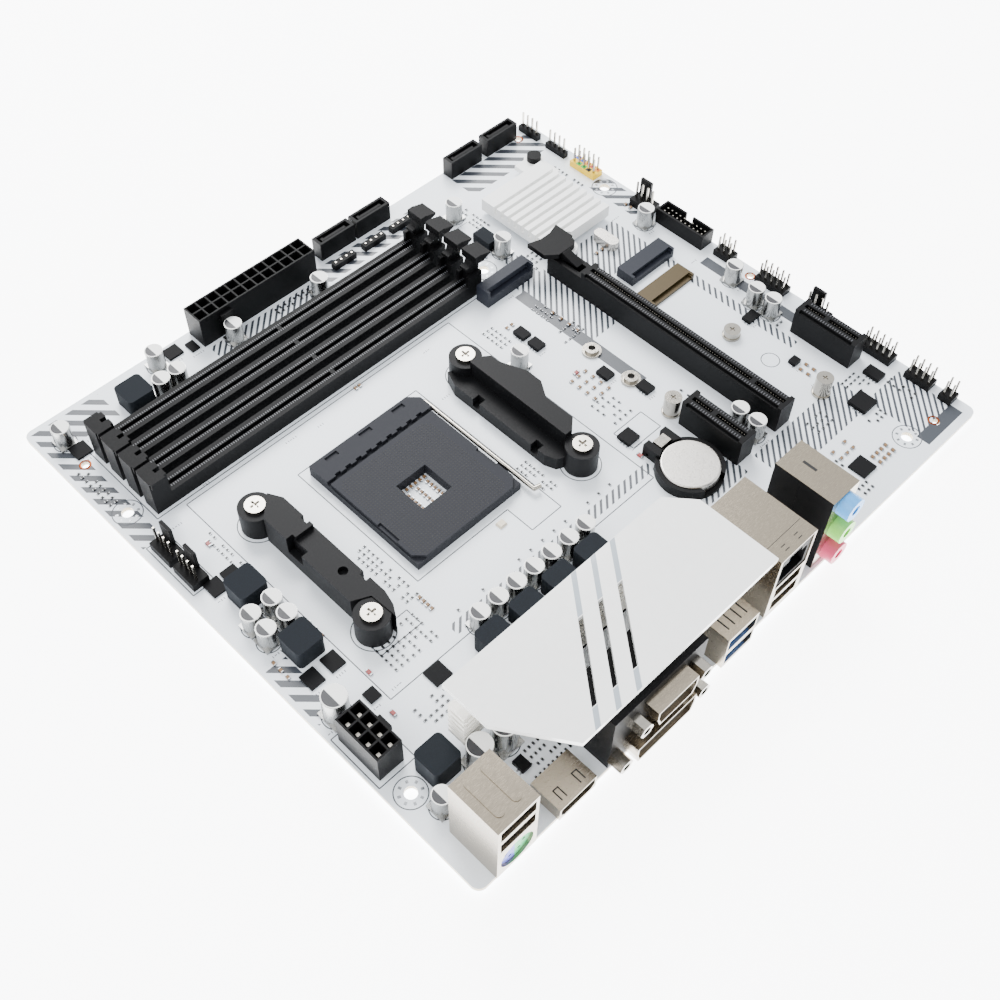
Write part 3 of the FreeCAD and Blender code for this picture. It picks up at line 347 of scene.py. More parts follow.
def inside(x0, x1, y0, y1):
    """1 within a rectangle of the board, in millimetres."""
    far_x = maths("SUBTRACT", maths("ABSOLUTE", maths("SUBTRACT", along, (x0 + x1) / 2)), (x1 - x0) / 2)
    far_y = maths("SUBTRACT", maths("ABSOLUTE", maths("SUBTRACT", across, (y0 + y1) / 2)), (y1 - y0) / 2)
    return maths("LESS_THAN", maths("MAXIMUM", far_x, far_y), 0.0)


def stripes(lean, pitch, share):
    """1 on stripes at 45 degrees; lean is 1 where they climb to the right, -1 where they fall."""
    ramp = maths("DIVIDE", maths("MULTIPLY_ADD", along, -lean, across), pitch * math.sqrt(2))
    return maths("LESS_THAN", maths("FRACT", maths("ADD", ramp, 500.0)), share)


# x0, x1, y0, y1, lean (0 is plain grey), pitch and share of grey
print_regions = [
    (1.5, 9.0, 150.0, 205.0, -1, 4.6, 0.5), (1.5, 28.0, 200.0, 213.0, -1, 4.6, 0.5),
    (190.0, 232.0, 197.0, 209.5, -1, 4.6, 0.5), (225.5, 234.5, 144.0, 170.0, -1, 4.4, 0.45),
    (165.5, 180.0, 113.0, 150.0, 1, 2.0, 0.42), (194.0, 217.0, 130.0, 150.0, 1, 2.0, 0.42),
    (214.0, 218.0, 62.0, 150.0, 1, 2.0, 0.42), (50.0, 139.0, 60.0, 64.0, 1, 2.0, 0.42),
    (166.5, 213.0, 27.0, 41.0, 1, 2.0, 0.42), (213.0, 232.0, 4.0, 29.0, 1, 2.0, 0.42),
    (161.8, 167.0, 88.0, 147.0, 0, 1, 1), (224.0, 228.5, 68.0, 112.0, 0, 1, 1),
    (212.0, 232.0, 3.0, 8.0, 0, 1, 1), (118.0, 168.0, 199.0, 208.0, -1, 4.6, 0.5),
    (68.0, 118.0, 197.0, 203.6, 1, 2.0, 0.42), (1.5, 9.0, 66.0, 90.0, -1, 4.6, 0.5),
    (140.0, 160.0, 38.0, 46.0, 1, 2.0, 0.42), (172.0, 178.0, 150.0, 172.0, 1, 2.0, 0.42),
]
marked = None
for x0, x1, y0, y1, lean, pitch, share in print_regions:
    area = inside(x0, x1, y0, y1)
    if lean:
        area = maths("MULTIPLY", area, stripes(lean, pitch, share))
    marked = area if marked is None else maths("MAXIMUM", marked, area)
weave = add(tree, "TexNoise", {"Scale": 1.6, "Detail": 3.0}, {"Vector": lay.outputs["Vector"]})
mask_tone = add(tree, "ValToRGB", None, {"Fac": weave.outputs["Fac"]})
mask_tone.color_ramp.elements[0].color = srgb("#DFE5EC")
mask_tone.color_ramp.elements[1].color = srgb("#EDF1F5")
printed = add(tree, "MixRGB", {"Color2": srgb("#33373E")},
              {"Fac": marked, "Color1": mask_tone.outputs["Color"]})
shape = add(tree, "NewGeometry")
facing = add(tree, "SeparateXYZ", None, {"Vector": shape.outputs["Normal"]})
edge = maths("LESS_THAN", maths("ABSOLUTE", facing.outputs["Z"]), 0.5)
sawn = add(tree, "MixRGB", {"Color2": srgb("#B9AB8E")},
           {"Fac": edge, "Color1": printed.outputs["Color"]})
shader = tree.nodes["Principled BSDF"]
tree.links.new(sawn.outputs["Color"], shader.inputs["Base Color"])
shader.inputs["Roughness"].default_value = 0.34
ripple = add(tree, "Bump", {"Strength": 0.25, "Distance": 0.01 * MM}, {"Height": weave.outputs["Fac"]})
tree.links.new(ripple.outputs["Normal"], shader.inputs["Normal"])
nodes["circuit_board"].data.materials.clear()
nodes["circuit_board"].data.materials.append(board_material)
print("print regions", len(print_regions))

# %% [markdown]
# The floor is a plain white sheet under the legs. It is staging and isn't part of the object.

# %% Floor
floor_paper = finish("white_paper_sweep", "#F7F9FB", 0.8, grain=3.0, relief=0.01, mottle=0.01)
bpy.ops.object.select_all(action="DESELECT")
bpy.ops.mesh.primitive_plane_add(size=6, location=(0.1, 0.1, cad_low.z - 0.0002))
floor = bpy.context.object
floor.name = "floor"
floor_glow = floor_paper.node_tree.nodes["Principled BSDF"]
floor_glow.inputs["Emission Color"].default_value = srgb("#FFFFFF")
floor_glow.inputs["Emission Strength"].default_value = 6.5
floor.data.materials.append(floor_paper)
floor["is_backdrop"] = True
print("floor at", round(floor.location.z * 1000, 2), "mm")

# %% [markdown]
# Three helpers do the bench work. One starts a block, one shapes its top face as a moulded or
# stamped part is shaped, and one sets a finished piece down: its place goes into its mesh, it
# gets its material and it rides with the body it is soldered to.

# %% Bench helpers
def block(name, x0, x1, y0, y1, z0, z1):
    """A block between two corners, in board millimetres."""
    bpy.ops.object.select_all(action="DESELECT")
    middle = at((x0 + x1) / 2, (y0 + y1) / 2, (z0 + z1) / 2)
    bpy.ops.mesh.primitive_cube_add(size=1, location=middle)
    piece = bpy.context.object
    piece.name = name
    piece.scale = ((x1 - x0) * MM, (y1 - y0) * MM, (z1 - z0) * MM)
    bpy.ops.object.transform_apply(location=False, rotation=False, scale=True)
    return piece


def select_top(piece):
    """Edit mode, with only the faces selected that look up."""
    bpy.ops.object.select_all(action="DESELECT")
    piece.select_set(True)
    bpy.context.view_layer.objects.active = piece
    highest = max(v.co.z for v in piece.data.vertices)
    bpy.ops.object.mode_set(mode="EDIT")
    bpy.ops.mesh.select_mode(type="FACE")
    bpy.ops.mesh.select_all(action="DESELECT")
    bpy.ops.object.mode_set(mode="OBJECT")
    for face in piece.data.polygons:
        face.select = face.normal.z > 0.9 and abs(face.center.z - highest) < 1e-6
    bpy.ops.object.mode_set(mode="EDIT")


def taper_top(piece, share):
    select_top(piece)
    bpy.ops.transform.resize(value=(share, share, 1))
    bpy.ops.object.mode_set(mode="OBJECT")
    return piece


def set_down(piece, name, material, body="board"):
    """Applies the place, names and dresses the piece, and lets it ride."""
    bpy.ops.object.select_all(action="DESELECT")
    piece.select_set(True)
    bpy.context.view_layer.objects.active = piece
    bpy.ops.object.transform_apply(location=True, rotation=True, scale=True)
    piece.name = name
    piece.data.name = name
    if material:
        piece.data.materials.clear()
        piece.data.materials.append(material)
    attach(piece, body)
    print(name, "faces", len(piece.data.polygons))
    return piece


def repeat(piece, counts, steps):
    """Applied array modifiers: counts and steps in millimetres along x and y."""
    bpy.context.view_layer.objects.active = piece
    for axis, (count, step) in enumerate(zip(counts, steps)):
        if count < 2:
            continue
        rows = piece.modifiers.new("rows", "ARRAY")
        rows.count = count
        rows.use_relative_offset = False
        rows.use_constant_offset = True
        offset = [0.0, 0.0, 0.0]
        offset[axis] = step * MM
        rows.constant_offset_displace = offset
        bpy.ops.object.modifier_apply(modifier=rows.name)
    return piece


def gather(pieces):
    """Joins pieces into the first one."""
    bpy.ops.object.select_all(action="DESELECT")
    for piece in pieces:
        piece.select_set(True)
    bpy.context.view_layer.objects.active = pieces[0]
    if len(pieces) > 1:
        bpy.ops.object.join()
    return bpy.context.object


def copies(template, places):
    """Copies of a template at places of (x, y, z, turn in degrees), each with its own mesh."""
    made = []
    for x, y, z, turn_degrees in places:
        other = template.copy()
        other.data = template.data.copy()
        bpy.context.collection.objects.link(other)
        other.location = at(x, y, z)
        other.rotation_euler = (0, 0, math.radians(turn_degrees))
        made.append(other)
    bpy.data.objects.remove(template)
    return gather(made)


# %% [markdown]
# Some parts, such as the cans, share one node. To put a lid on each can its place has to be
# found, so the faces that share corners are grouped and the box of each group is measured.

# %% Read the separate solids of a node
def solids_of(node):
    """The boxes of a node's separate solids, in board millimetres, as (low, high)."""
    mesh = nodes[node].data
    leader = {}

    def find(key):
        while leader[key] != key:
            leader[key] = leader[leader[key]]
            key = leader[key]
        return key

    keys = [tuple(round(c, 6) for c in v.co) for v in mesh.vertices]
    for key in keys:
        leader.setdefault(key, key)
    for face in mesh.polygons:
        first = find(keys[face.vertices[0]])
        for index in face.vertices[1:]:
            leader[find(keys[index])] = first
    groups = {}
    for key in set(keys):
        groups.setdefault(find(key), []).append(key)
    corners = []
    for members in groups.values():
        low = (Vector(min(m[a] for m in members) for a in range(3)) - at(0, 0, 0)) / MM
        high = (Vector(max(m[a] for m in members) for a in range(3)) - at(0, 0, 0)) / MM
        corners.append((low, high))
    return sorted(corners, key=lambda pair: (round(pair[0].x, 2), round(pair[0].y, 2)))


cans = solids_of("capacitors")
chips = solids_of("integrated_circuits")
print("cans", len(cans), "chips", len(chips))

# %% [markdown]
# Each aluminium can has a white printed top with a black half moon on its negative side. The
# discs are thin so that they lie on the can, and their rims are bevelled as a crimped lid is.

# %% Capacitor tops
def can_top(radius, thickness):
    bpy.ops.object.select_all(action="DESELECT")
    bpy.ops.mesh.primitive_cylinder_add(vertices=32, radius=radius * MM, depth=thickness * MM)
    disc = bpy.context.object
    select_top(disc)
    bpy.ops.mesh.inset(thickness=0.25 * MM, depth=0.04 * MM)
    bpy.ops.object.mode_set(mode="OBJECT")
    return disc


tops, moons = [], []
for low, high in cans:
    radius = (high.x - low.x) / 2 - 0.2
    middle = ((low.x + high.x) / 2, (low.y + high.y) / 2)
    disc = can_top(radius, 0.12)
    disc.location = at(middle[0], middle[1], high.z + 0.06)
    tops.append(disc)
    bpy.ops.object.select_all(action="DESELECT")
    bpy.ops.mesh.primitive_cylinder_add(vertices=32, radius=(radius - 0.3) * MM, depth=0.06 * MM,
                                        location=at(middle[0], middle[1], high.z + 0.17))
    moon = bpy.context.object
    bpy.ops.object.mode_set(mode="EDIT")
    bpy.ops.mesh.select_all(action="SELECT")
    bpy.ops.mesh.bisect(plane_co=at(middle[0] - radius * 0.2, middle[1], 0), plane_no=(1, 0, 0),
                        clear_outer=True, use_fill=True)
    bpy.ops.object.mode_set(mode="OBJECT")
    moons.append(moon)
set_down(gather(tops), "capacitor_tops", cap_white)
set_down(gather(moons), "capacitor_polarity_marks", cap_black)

# %% [markdown]
# Memory and expansion slots show two rows of fine contact teeth. One tooth is a block whose
# top is drawn in, and an applied array repeats it at the real contact pitch.

# %% Memory slot contacts
contact_pitch = 0.85
for index in range(1, 5):
    low, high = box_mm(f"dimm_slot_{index}")
    middle_y = (low.y + high.y) / 2
    rows = []
    for side in (-1, 1):
        y = middle_y + side * 1.35
        tooth = block("tooth", low.x + 6.9, low.x + 7.3, y - 0.42, y + 0.42, 6.3, 6.36)
        rows.append(repeat(taper_top(tooth, 0.85), (162, 1), (contact_pitch, 0)))
    set_down(gather(rows), f"memory_contacts_{index}", contact_black)

# %% [markdown]
# An expansion slot has ribs between its contacts and small tinned tips inside. Both rows use
# one shaped block and one array, and the number of ribs comes from the slot's length.

# %% Expansion slot contacts
expansion = solids_of("pcie_x1_slots") + [tuple(box_mm("pcie_x16_slot"))]
ribs, tips = [], []
for low, high in expansion:
    middle_x = (low.x + high.x) / 2
    length = int(min(high.y - low.y, 89.3)) - 4
    for side in (-1, 1):
        x = middle_x + side * 2.1
        rib = block("rib", x - 0.55, x + 0.55, low.y + 2.2, low.y + 2.6, 11.22, 11.3)
        ribs.append(repeat(taper_top(rib, 0.85), (1, length), (0, 1.0)))
        x = middle_x + side * 0.55
        tip = block("tip", x - 0.14, x + 0.14, low.y + 2.25, low.y + 2.6, 10.2, 10.5)
        tips.append(repeat(taper_top(tip, 0.85), (1, length), (0, 1.0)))
set_down(gather(ribs), "expansion_slot_ribs", contact_black)
set_down(gather(tips), "expansion_contacts", contact_ivory)

# %% [markdown]
# The processor socket's plate is a field of pin holes on a 1 mm grid round an open window. Each
# hole is a shallow near black dimple, painted shade for the depth of the hole: a short hexagonal
# post lies almost flush with the plate.

# %% Socket pin field
cover_high = box_mm("cpu_socket_cover")[1]
socket_middle = (78.1, 105.0)
# near black painted shade for the depth of each pin hole; the shell slits below reuse it for their gaps
painted_hole_shade = finish("pin_hole_shadow", "#040405", 0.7, grain=0.3)
bpy.ops.object.select_all(action="DESELECT")
bpy.ops.mesh.primitive_cylinder_add(vertices=6, radius=0.3 * MM, depth=0.04 * MM)
dimple = taper_top(bpy.context.object, 0.9)
spots = []
for i in range(39):
    for j in range(39):
        dx, dy = i - 19, j - 19
        if max(abs(dx), abs(dy)) <= 6 or abs(dx) + abs(dy) > 36:
            continue
        spots.append((socket_middle[0] + dx, socket_middle[1] + dy, cover_high.z + 0.02, 0))
set_down(copies(dimple, spots), "socket_pin_holes", painted_hole_shade, body="socket_cover")

# %% [markdown]
# Chips stand on rows of tinned legs. Each leg is a small block tapered at the top; they follow
# each chip's own box, so every leg meets its package.

# %% Chip legs
legs = []
for low, high in chips:
    width, depth = high.x - low.x, high.y - low.y
    if high.z > 2.5:
        continue
    pitch = 1.27 if high.z > 1.2 else 0.65
    share = 0.7 if high.z > 1.2 else 0.1
    count = int((depth - 0.6) / pitch)
    for side in (-1, 1):
        x = (low.x + high.x) / 2 + side * (width / 2 + share / 2)
        leg = block("leg", x - share / 2 - 0.05, x + share / 2 + 0.05,
                    low.y + 0.3, low.y + 0.3 + pitch * 0.4, 0, 0.4)
        legs.append(repeat(taper_top(leg, 0.8), (1, count), (0, pitch)))
set_down(gather(legs), "chip_legs", tin)

# %% [markdown]
# The print also has fine lines: a ring round each screw hole and can, and outlines round the
# socket and its keep-out. A line is a very thin bar laid on the mask and turned to its
# direction; a ring is a flattened torus. Both are far thinner than a hair.

# %% Fine printed lines
print_grey = finish("grey_screen_print", "#33373E", 0.5, grain=0.4, mottle=0.05)
line_height = 0.03


def bar(x0, y0, x1, y1, width, z=0.0, height=line_height):
    """A thin bar between two places on the board."""
    length = math.hypot(x1 - x0, y1 - y0)
    middle_x, middle_y = (x0 + x1) / 2, (y0 + y1) / 2
    piece = block("bar", middle_x - length / 2, middle_x + length / 2, middle_y - width / 2,
                  middle_y + width / 2, z, z + height)
    taper_top(piece, 0.98)
    piece.rotation_euler = (0, 0, math.atan2(y1 - y0, x1 - x0))
    return piece


def outline(corners, width=0.35):
    """Bars along a closed run of corners."""
    return [bar(*a, *b, width) for a, b in zip(corners, corners[1:] + corners[:1])]


def ring(x, y, radius, width=0.35, z=0.0):
    bpy.ops.object.select_all(action="DESELECT")
    bpy.ops.mesh.primitive_torus_add(major_radius=radius * MM, minor_radius=width / 2 * MM,
                                     major_segments=40, minor_segments=4, location=at(x, y, z))
    piece = bpy.context.object
    piece.scale = (1, 1, 0.2)
    bpy.ops.object.transform_apply(location=True, rotation=True, scale=True)
    bpy.ops.object.mode_set(mode="EDIT")
    bpy.ops.mesh.select_all(action="SELECT")
    bpy.ops.mesh.bisect(plane_co=at(x, y, z - 0.02), plane_no=(0, 0, 1), clear_inner=True)
    bpy.ops.object.mode_set(mode="OBJECT")
    return piece


def rectangle(x0, x1, y0, y1):
    return [(x0, y0), (x1, y0), (x1, y1), (x0, y1)]


lines = outline(rectangle(21.5, 136.0, 58.0, 154.6)) + outline(rectangle(1.0, 14.5, 39.9, 60.4))
socket_outline = [(54.3, 82.1), (93.0, 82.1), (93.0, 71.0), (106.1, 71.0), (106.1, 139.2),
                  (54.3, 139.2)]
lines += outline(socket_outline)
lines += outline(rectangle(11.6, 160.0, 156.4, 193.6)) + outline(rectangle(140.4, 154.0, 70.6, 79.4))
lines += outline(rectangle(29.0, 45.0, 70.5, 77.0)) + outline(rectangle(2.4, 10.6, 125.6, 149.6))
holes = [(6.35, 33.02), (6.35, 165.1), (163.83, 165.1), (209.55, 10.16), (229.87, 165.1)]
lines += [ring(x, y, 4.9) for x, y in holes] + [ring(204.2, 63.5, 3.25)]
lines += [ring(x, y, 6.9) for x in (33.1, 123.1) for y in (78.4, 132.4)]
for low, high in cans:
    lines.append(ring((low.x + high.x) / 2, (low.y + high.y) / 2, (high.x - low.x) / 2 + 0.6))
set_down(gather(lines), "printed_lines", print_grey)

# %% [markdown]
# Each screw hole has eight bare pads in a ring that touch the case screw's head. The tooling
# holes have a bare copper rim. A short bar is laid at each of eight angles.

# %% Screw hole pads
pads = []
for x, y in holes:
    for step in range(8):
        angle = math.radians(45 * step + 22)
        pad = bar(x + 2.9 * math.cos(angle), y + 2.9 * math.sin(angle), x + 3.9 * math.cos(angle),
                  y + 3.9 * math.sin(angle), 0.8)
        pads.append(pad)
set_down(gather(pads), "screw_hole_pads", tin)
copper = finish("bare_copper_ring", "#6E3418", 0.35, 0.9, grain=0.3)
tooling_holes = [(7.7, 190.4), (226.5, 209.0), (232.0, 94.5), (222.0, 8.0)]
set_down(gather([ring(x, y, 1.7, 0.7) for x, y in tooling_holes]), "tooling_hole_rings", copper)

# %% [markdown]
# Board makers print part names beside each part. Real lettering isn't wanted here, so short
# rows of ticks stand in for it. A seeded random draw keeps them the same on each run.

# %% Stand-in lettering
draw = random.Random(7)
tick_places = []
label_starts = [((low.x + high.x) / 2 - 2.4, low.y - 1.7) for low, high in cans + chips if low.y > 41]
label_starts += [(12, 150), (30, 157), (60, 152), (72, 150), (110, 130), (120, 150), (218, 150),
                 (160, 148), (222, 114), (205, 46), (12, 198), (1.8, 62), (148, 41), (184, 151),
                 (196, 190), (24, 60)]
for x, y in label_starts:
    for letter in range(draw.randint(3, 5)):
        tick_places.append((x + letter * 1.0, y, 0.015, draw.choice((0, 0, 90))))
tick = block("tick", 0, 0.22, 0, 0.8, 0, line_height)
taper_top(tick, 0.95)
set_down(copies(tick, tick_places), "printed_ticks", print_grey)

# %% [markdown]
# Hundreds of passives surround the chips. A resistor is a black slab and a ceramic capacitor a
# taller tan one, both with tinned ends. One of each is modelled and copied into small groups.

# %% One resistor and one capacitor
tan_ceramic = finish("tan_ceramic", "#7A5B3A", 0.5, grain=0.3, mottle=0.1)
resistor_black = finish("black_resistor_glaze", "#101012", 0.4, grain=0.3)


def passive(length, width, height, body_material):
    """A chip part about the origin, its body and its two tinned ends."""
    end = length * 0.17
    pieces = []
    for x0, x1, z1, material in [(-length / 2 + end, length / 2 - end, height, body_material),
                                 (-length / 2, -length / 2 + end, height * 0.96, tin),
                                 (length / 2 - end, length / 2, height * 0.96, tin)]:
        bpy.ops.object.select_all(action="DESELECT")
        bpy.ops.mesh.primitive_cube_add(size=1, location=((x0 + x1) / 2 * MM, 0, z1 / 2 * MM))
        piece = bpy.context.object
        piece.scale = ((x1 - x0) * MM, width * MM, z1 * MM)
        bpy.ops.object.transform_apply(location=True, rotation=False, scale=True)
        taper_top(piece, 0.9)
        piece.data.materials.append(material)
        pieces.append(piece)
    return gather(pieces)


# x, y of the first, columns, rows, step x, step y, turned
resistor_groups = [
    (107, 78, 4, 8, 1.9, 1.9, 90), (47, 79, 3, 13, 2.0, 2.0, 0), (29, 64, 8, 6, 2.3, 2.1, 90),
    (159, 119, 5, 3, 2.2, 2.4, 0), (162, 131, 3, 4, 2.2, 2.4, 90), (178, 181, 5, 7, 2.0, 2.0, 90),
    (34, 12, 9, 4, 1.7, 2.6, 90), (190, 32, 4, 3, 2.4, 2.4, 0), (180, 6, 3, 7, 2.0, 2.4, 90),
    (219, 72, 2, 8, 2.2, 2.2, 0), (222, 172, 2, 8, 2.4, 2.1, 0), (141, 133, 3, 5, 2.1, 2.2, 90),
    (96, 200, 9, 2, 2.1, 1.8, 90), (4, 171, 2, 9, 2.2, 2.2, 0), (206, 21, 4, 3, 2.2, 2.0, 90),
    (213, 33, 4, 4, 2.2, 2.1, 0), (18, 125, 2, 8, 2.0, 2.2, 90), (171, 60, 1, 6, 1, 3.2, 90),
    (24, 44, 5, 4, 2.2, 2.2, 0), (144, 82, 4, 5, 2.6, 2.6, 90), (160, 152, 1, 9, 1, 2.0, 0),
    (225, 19, 2, 7, 2.2, 2.4, 90), (176, 152, 4, 4, 2.3, 2.3, 0), (56, 66, 14, 1, 5.2, 2, 90),
]
capacitor_groups = [
    (50.6, 72, 1, 4, 1, 1.8, 0), (194, 10, 4, 2, 2.4, 3.0, 90), (166, 120, 1, 4, 1, 4.0, 0),
    (169, 166, 3, 5, 3.4, 3.4, 90), (147, 94, 3, 4, 3.4, 3.6, 0), (201, 158, 1, 2, 1, 3, 90),
    (200, 142, 2, 2, 3, 3, 0), (21, 88, 1, 3, 1, 3.0, 0), (92, 154, 2, 1, 1.8, 1, 90),
    (222, 88, 1, 3, 1, 4.0, 0), (5, 84, 1, 3, 1, 3.2, 90), (149, 138, 2, 1, 2.4, 1, 90),
    (228, 150, 2, 2, 2.4, 2.6, 0), (208, 50, 2, 2, 3.2, 3.2, 90), (186, 20, 3, 2, 3.2, 3.4, 0),
]


def clear_places(groups, chance):
    """Places on bare board: nothing that stands on the board is underneath."""
    places = []
    for x, y, columns, rows, step_x, step_y, turned in groups:
        for i in range(columns):
            for j in range(rows):
                spot = (x + i * step_x, y + j * step_y)
                if draw.random() < chance and bare(*spot):
                    places.append((spot[0], spot[1], 0.0, turned))
    return places


# %% [markdown]
# The groups above are drawn as plain grids, so some places would fall under a slot or a chip.
# A test against the box of all that stands on the board keeps only the bare places.

# %% Bare board
standing = [box_mm(name) for name in nodes if name not in (
    "circuit_board", "capacitors", "integrated_circuits", "inductors", "solder_legs",
    "cooler_backplate", "header_pins", "heatsink_cover", "vrm_heatsink", "thermal_pad",
    "pin_header_bases", "fan_headers", "sata_ports", "m2_slots", "m2_standoffs", "m2_screws",
    "bracket_screws", "pcie_x1_slots", "chipset_push_pins", "port_tongues", "hex_nuts",
    "cooler_bracket_left", "cooler_bracket_right", "cpu_socket_lever", "pcie_x16_latch")]
for name in ("capacitors", "integrated_circuits", "inductors", "pin_header_bases", "fan_headers",
             "sata_ports", "m2_slots", "m2_standoffs", "pcie_x1_slots", "chipset_push_pins"):
    standing += solids_of(name)
# the two cooler brackets and the socket with its lever
for x0, x1, y0, y1 in [(29.1, 46, 78.4, 139), (113, 133, 72, 139), (53, 106, 82, 139)]:
    standing.append((Vector((x0, y0, 0)), Vector((x1, y1, 1))))


def bare(x, y, margin=1.0):
    """True where a chip part fits between what stands on the board."""
    if not (1.5 < x < board_size.x - 1.5 and 1.5 < y < board_size.y - 1.5):
        return False
    if any(math.hypot(x - hx, y - hy) < 5.4 for hx, hy in holes):
        return False
    return not any(low.x - margin < x < high.x + margin and low.y - margin < y < high.y + margin
                   for low, high in standing)


set_down(copies(passive(1.2, 0.65, 0.4, resistor_black), clear_places(resistor_groups, 0.85)),
         "chip_resistors", None)
set_down(copies(passive(1.7, 0.95, 0.75, tan_ceramic), clear_places(capacitor_groups, 0.95)),
         "chip_capacitors", None)

# %% [markdown]
# Inside the socket's window the bare board shows, with rows of small decoupling capacitors: a
# row along the far side and three columns below it.

# %% Window capacitors
window_places = [(73.4 + 1.9 * i, 109.9, 0.0, 90) for i in range(6)]
window_places += [(x, 101.0 + 1.7 * j, 0.0, 0) for x in (73.9, 78.1, 82.3) for j in range(5)]
set_down(copies(passive(1.7, 0.9, 0.7, tan_ceramic), window_places), "window_capacitors", None)

# %% [markdown]
# A few larger passives stand out by colour: small red fuses and one cream oscillator. They use
# the same helper with a longer body, so they match the others in how their ends are tinned.

# %% Small fuses and the oscillator
red_glass = finish("red_fuse_body", "#8A1410", 0.35, grain=0.3)
fuses = [(17.1, 137.5, 0, 90), (22.8, 68.8, 0, 90), (19.0, 54.2, 0, 90), (151.0, 106.5, 0, 0),
         (139.5, 67.0, 0, 90)]
set_down(copies(passive(2.4, 1.2, 0.8, red_glass), fuses), "small_fuses", None)
cream_ceramic = finish("cream_ceramic", "#D8CBB4", 0.4, grain=0.3)
oscillator = block("oscillator", 86.0, 89.0, 78.0, 80.6, 0, 1.0)
set_down(taper_top(oscillator, 0.8), "oscillator", cream_ceramic)

# %% [markdown]
# The long cover has three slanting slots, and a polished streak runs on from each to both
# edges. Each streak is a long bar turned to the slots' lean and cut off square with the
# cover's edges by two bisect planes. Its gloss is the band's real finish, and its grey tone
# is a painted reflection.

# %% Polished streaks on the cover
# grey tone painted as the reflection on a polished band; the low roughness and the coat are its real
# gloss
streak_painted_reflection = finish("polished_streak_painted_reflection", "#9AA3AB", 0.08, grain=3.0, relief=0.001,
                      mottle=0.01, coat=1.0)
cover_low_mm, cover_high_mm = box_mm("heatsink_cover")


def cut_square(piece, plane_y, keep_below):
    """Bisects across y, in board millimetres, and fills the cut."""
    bpy.ops.object.select_all(action="DESELECT")
    piece.select_set(True)
    bpy.context.view_layer.objects.active = piece
    bpy.ops.object.mode_set(mode="EDIT")
    bpy.ops.mesh.select_all(action="SELECT")
    bpy.ops.mesh.bisect(plane_co=at(0, plane_y), plane_no=(0, 1, 0), clear_outer=keep_below,
                        clear_inner=not keep_below, use_fill=True)
    bpy.ops.object.mode_set(mode="OBJECT")


slope = 17.0 / 20.9  # the slots lean by 17.0 mm along the cover over 20.9 mm across it
streaks = []
for index in range(3):
    far_x = cover_low_mm.x + 41.05 + 8.0 * index
    for y0, y1 in [(27.6, cover_high_mm.y - 0.1), (cover_low_mm.y + 0.1, 6.3)]:
        xa, xb = far_x + (y0 - 4 - 27.4) * slope, far_x + (y1 + 4 - 27.4) * slope
        streak = bar(xa, y0 - 4, xb, y1 + 4, 1.62, cover_high_mm.z, 0.04)
        bpy.ops.object.select_all(action="DESELECT")
        streak.select_set(True)
        bpy.context.view_layer.objects.active = streak
        bpy.ops.object.transform_apply(location=True, rotation=True, scale=True)
        cut_square(streak, y1, True)
        cut_square(streak, y0, False)
        streaks.append(streak)
set_down(gather(streaks), "cover_streaks", streak_painted_reflection)

# %% [markdown]
# The audio jacks sit in a black moulding behind a folded nickel shield that covers the top, the
# front and the side away from the other ports. The front of the shield is holed for the jacks
# with a boolean, as a punch would.

# %% Audio shield
audio_low, audio_high = box_mm("audio_body")
skin = 0.12
barrel_hole = 4.08  # a barrel of 4.0 with room to pass
shield_foot = 0.3
top_plate = block("shield", audio_low.x, audio_high.x + skin, audio_low.y - skin, audio_high.y,
                  audio_high.z, audio_high.z + skin)
side_plate = block("side", audio_high.x, audio_high.x + skin, audio_low.y, audio_high.y,
                   shield_foot, audio_high.z)
front_plate = block("front", audio_low.x, audio_high.x + skin, audio_low.y - skin, audio_low.y,
                    shield_foot, audio_high.z)
shield = gather([top_plate, side_plate, front_plate])
for jack in ("audio_jack_pink", "audio_jack_green", "audio_jack_blue"):
    low, high = box_mm(jack)
    bpy.ops.object.select_all(action="DESELECT")
    middle = at((low.x + high.x) / 2, audio_low.y, (low.z + high.z) / 2)
    bpy.ops.mesh.primitive_cylinder_add(vertices=32, radius=barrel_hole * MM, depth=3 * MM,
                                        rotation=(math.pi / 2, 0, 0), location=middle)
    punch = bpy.context.object
    hole = shield.modifiers.new("punched_hole", "BOOLEAN")
    hole.object = punch
    hole.operation = "DIFFERENCE"
    hole.solver = "EXACT"
    hole.use_self = True
    bpy.context.view_layer.objects.active = shield
    bpy.ops.object.modifier_apply(modifier=hole.name)
    bpy.data.objects.remove(punch)
set_down(shield, "audio_shield", warm_nickel)

# %% [markdown]
# Stamped shells carry raised ovals for stiffness and dark slits round their spring fingers. The
# ovals are blocks with their upright edges rounded by a bevel; the slits are thin near black bars,
# painted shade where the shell is cut through.

# %% Port shell stampings
def raised_oval(x, y, width, length, z):
    piece = block("oval", x - width / 2, x + width / 2, y - length / 2, y + length / 2, z, z + 0.3)
    rounding = piece.modifiers.new("rounding", "BEVEL")
    rounding.width = width * 0.49 * MM
    rounding.segments = 6
    rounding.limit_method = "WEIGHT"
    weights = piece.data.attributes.new("bevel_weight_edge", "FLOAT", "EDGE")
    for edge in piece.data.edges:
        a, b = (piece.data.vertices[i].co for i in edge.vertices)
        weights.data[edge.index].value = 1.0 if abs(a.z - b.z) > 1e-7 else 0.0
    bpy.context.view_layer.objects.active = piece
    bpy.ops.object.modifier_apply(modifier=rounding.name)
    return piece


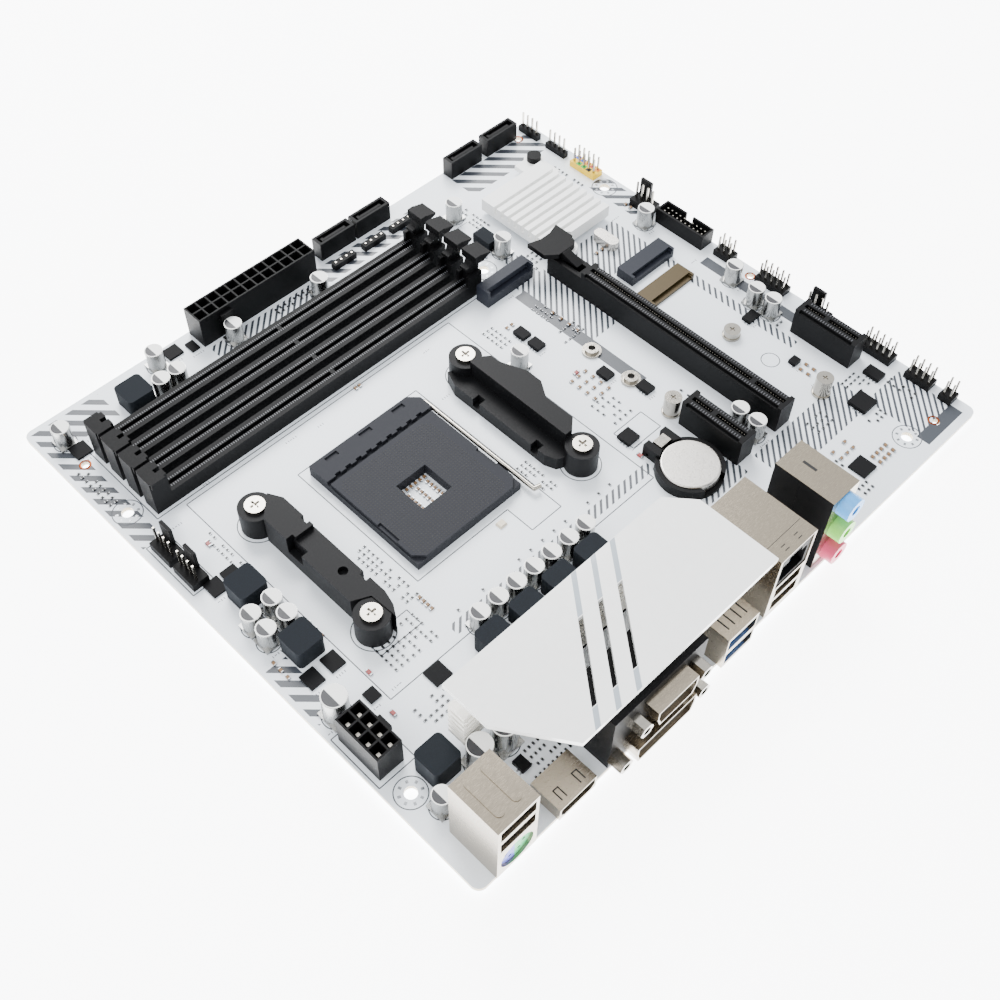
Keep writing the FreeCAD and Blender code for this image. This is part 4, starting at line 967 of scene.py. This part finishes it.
port_low, port_high = box_mm("ps2_usb_shell")
ovals = [raised_oval(port_low.x + x, 9.0, 3.0, 13.5, port_high.z) for x in (4.4, 10.4)]
set_down(gather(ovals), "port_shell_ovals", warm_nickel)
# each slit is a near black bar: painted shade in the gap of the stamped shell
slits = []
usb_low, usb_high = box_mm("usb_stack_shell")
for x in (usb_low.x + 3.0, usb_low.x + 5.6, usb_low.x + 8.6, usb_low.x + 11.2):
    slits.append(bar(x, 0.5, x, 5.5, 0.5, usb_high.z, 0.04))
hdmi_low, hdmi_high = box_mm("hdmi_shell")
for x in (hdmi_low.x + 3.6, hdmi_low.x + 10.9):
    slits += [bar(x + side, 0.8, x + side, 4.4, 0.4, hdmi_high.z, 0.04) for side in (-0.9, 0.9)]
    slits.append(bar(x - 1.1, 4.4, x + 1.1, 4.4, 0.4, hdmi_high.z, 0.04))
lan_low, lan_high = box_mm("lan_usb_shell")
for x in (lan_low.x + 4.2, lan_low.x + 10.2):
    slits += [bar(x, y, x + 1.8, y, 0.3, lan_high.z, 0.04) for y in (2.0, 3.6)]
slits.append(bar(lan_low.x + 0.5, 6.0, lan_high.x - 0.5, 6.0, 0.16, lan_high.z, 0.04))
slits.append(bar(150.6, 12.0, 150.6, 17.0, 1.0, audio_high.z + skin, 0.04))
set_down(gather(slits), "port_shell_slits", painted_hole_shade)

# %% [markdown]
# The panel header's sockets are coloured so that each lead finds its place. Each cell is a thin
# square tile with a drawn-in top, grouped by colour, on the yellow moulding.

# %% Panel header cells
header_low, header_high = box_mm("front_panel_header")
cell_colours = {"blue": "#2F55C8", "orange": "#E8862A", "red": "#D23C2E", "green": "#3DB54A",
                "black": "#1A1A1C"}
cell_rows = [(header_high.x - 1.27, ["blue", "blue", "orange", "red", "orange"]),
             (header_low.x + 1.27, ["green", "green", "black"])]
for column, (x, row) in enumerate(cell_rows):
    for colour_name in sorted(set(row)):
        tiles = []
        for step, tile_colour in enumerate(row):
            if tile_colour == colour_name:
                y = header_high.y - 1.27 - 2.54 * (step + column)
                tile = block("cell", x - 1.0, x + 1.0, y - 1.0, y + 1.0, header_high.z,
                             header_high.z + 0.15)
                tiles.append(taper_top(tile, 0.9))
        cell = finish(f"{colour_name}_header_cell_{column}", cell_colours[colour_name], 0.45, grain=0.3)
        set_down(gather(tiles), f"panel_cells_{colour_name}_{column}", cell)

# %% [markdown]

# %% [markdown]
# The highest corner before and after the details is compared, and the growth is printed in
# millimetres.

# %% Print the growth in size
low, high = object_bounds()
print("visual grows by mm", [round(v * 1000, 2) for v in high - cad_high])
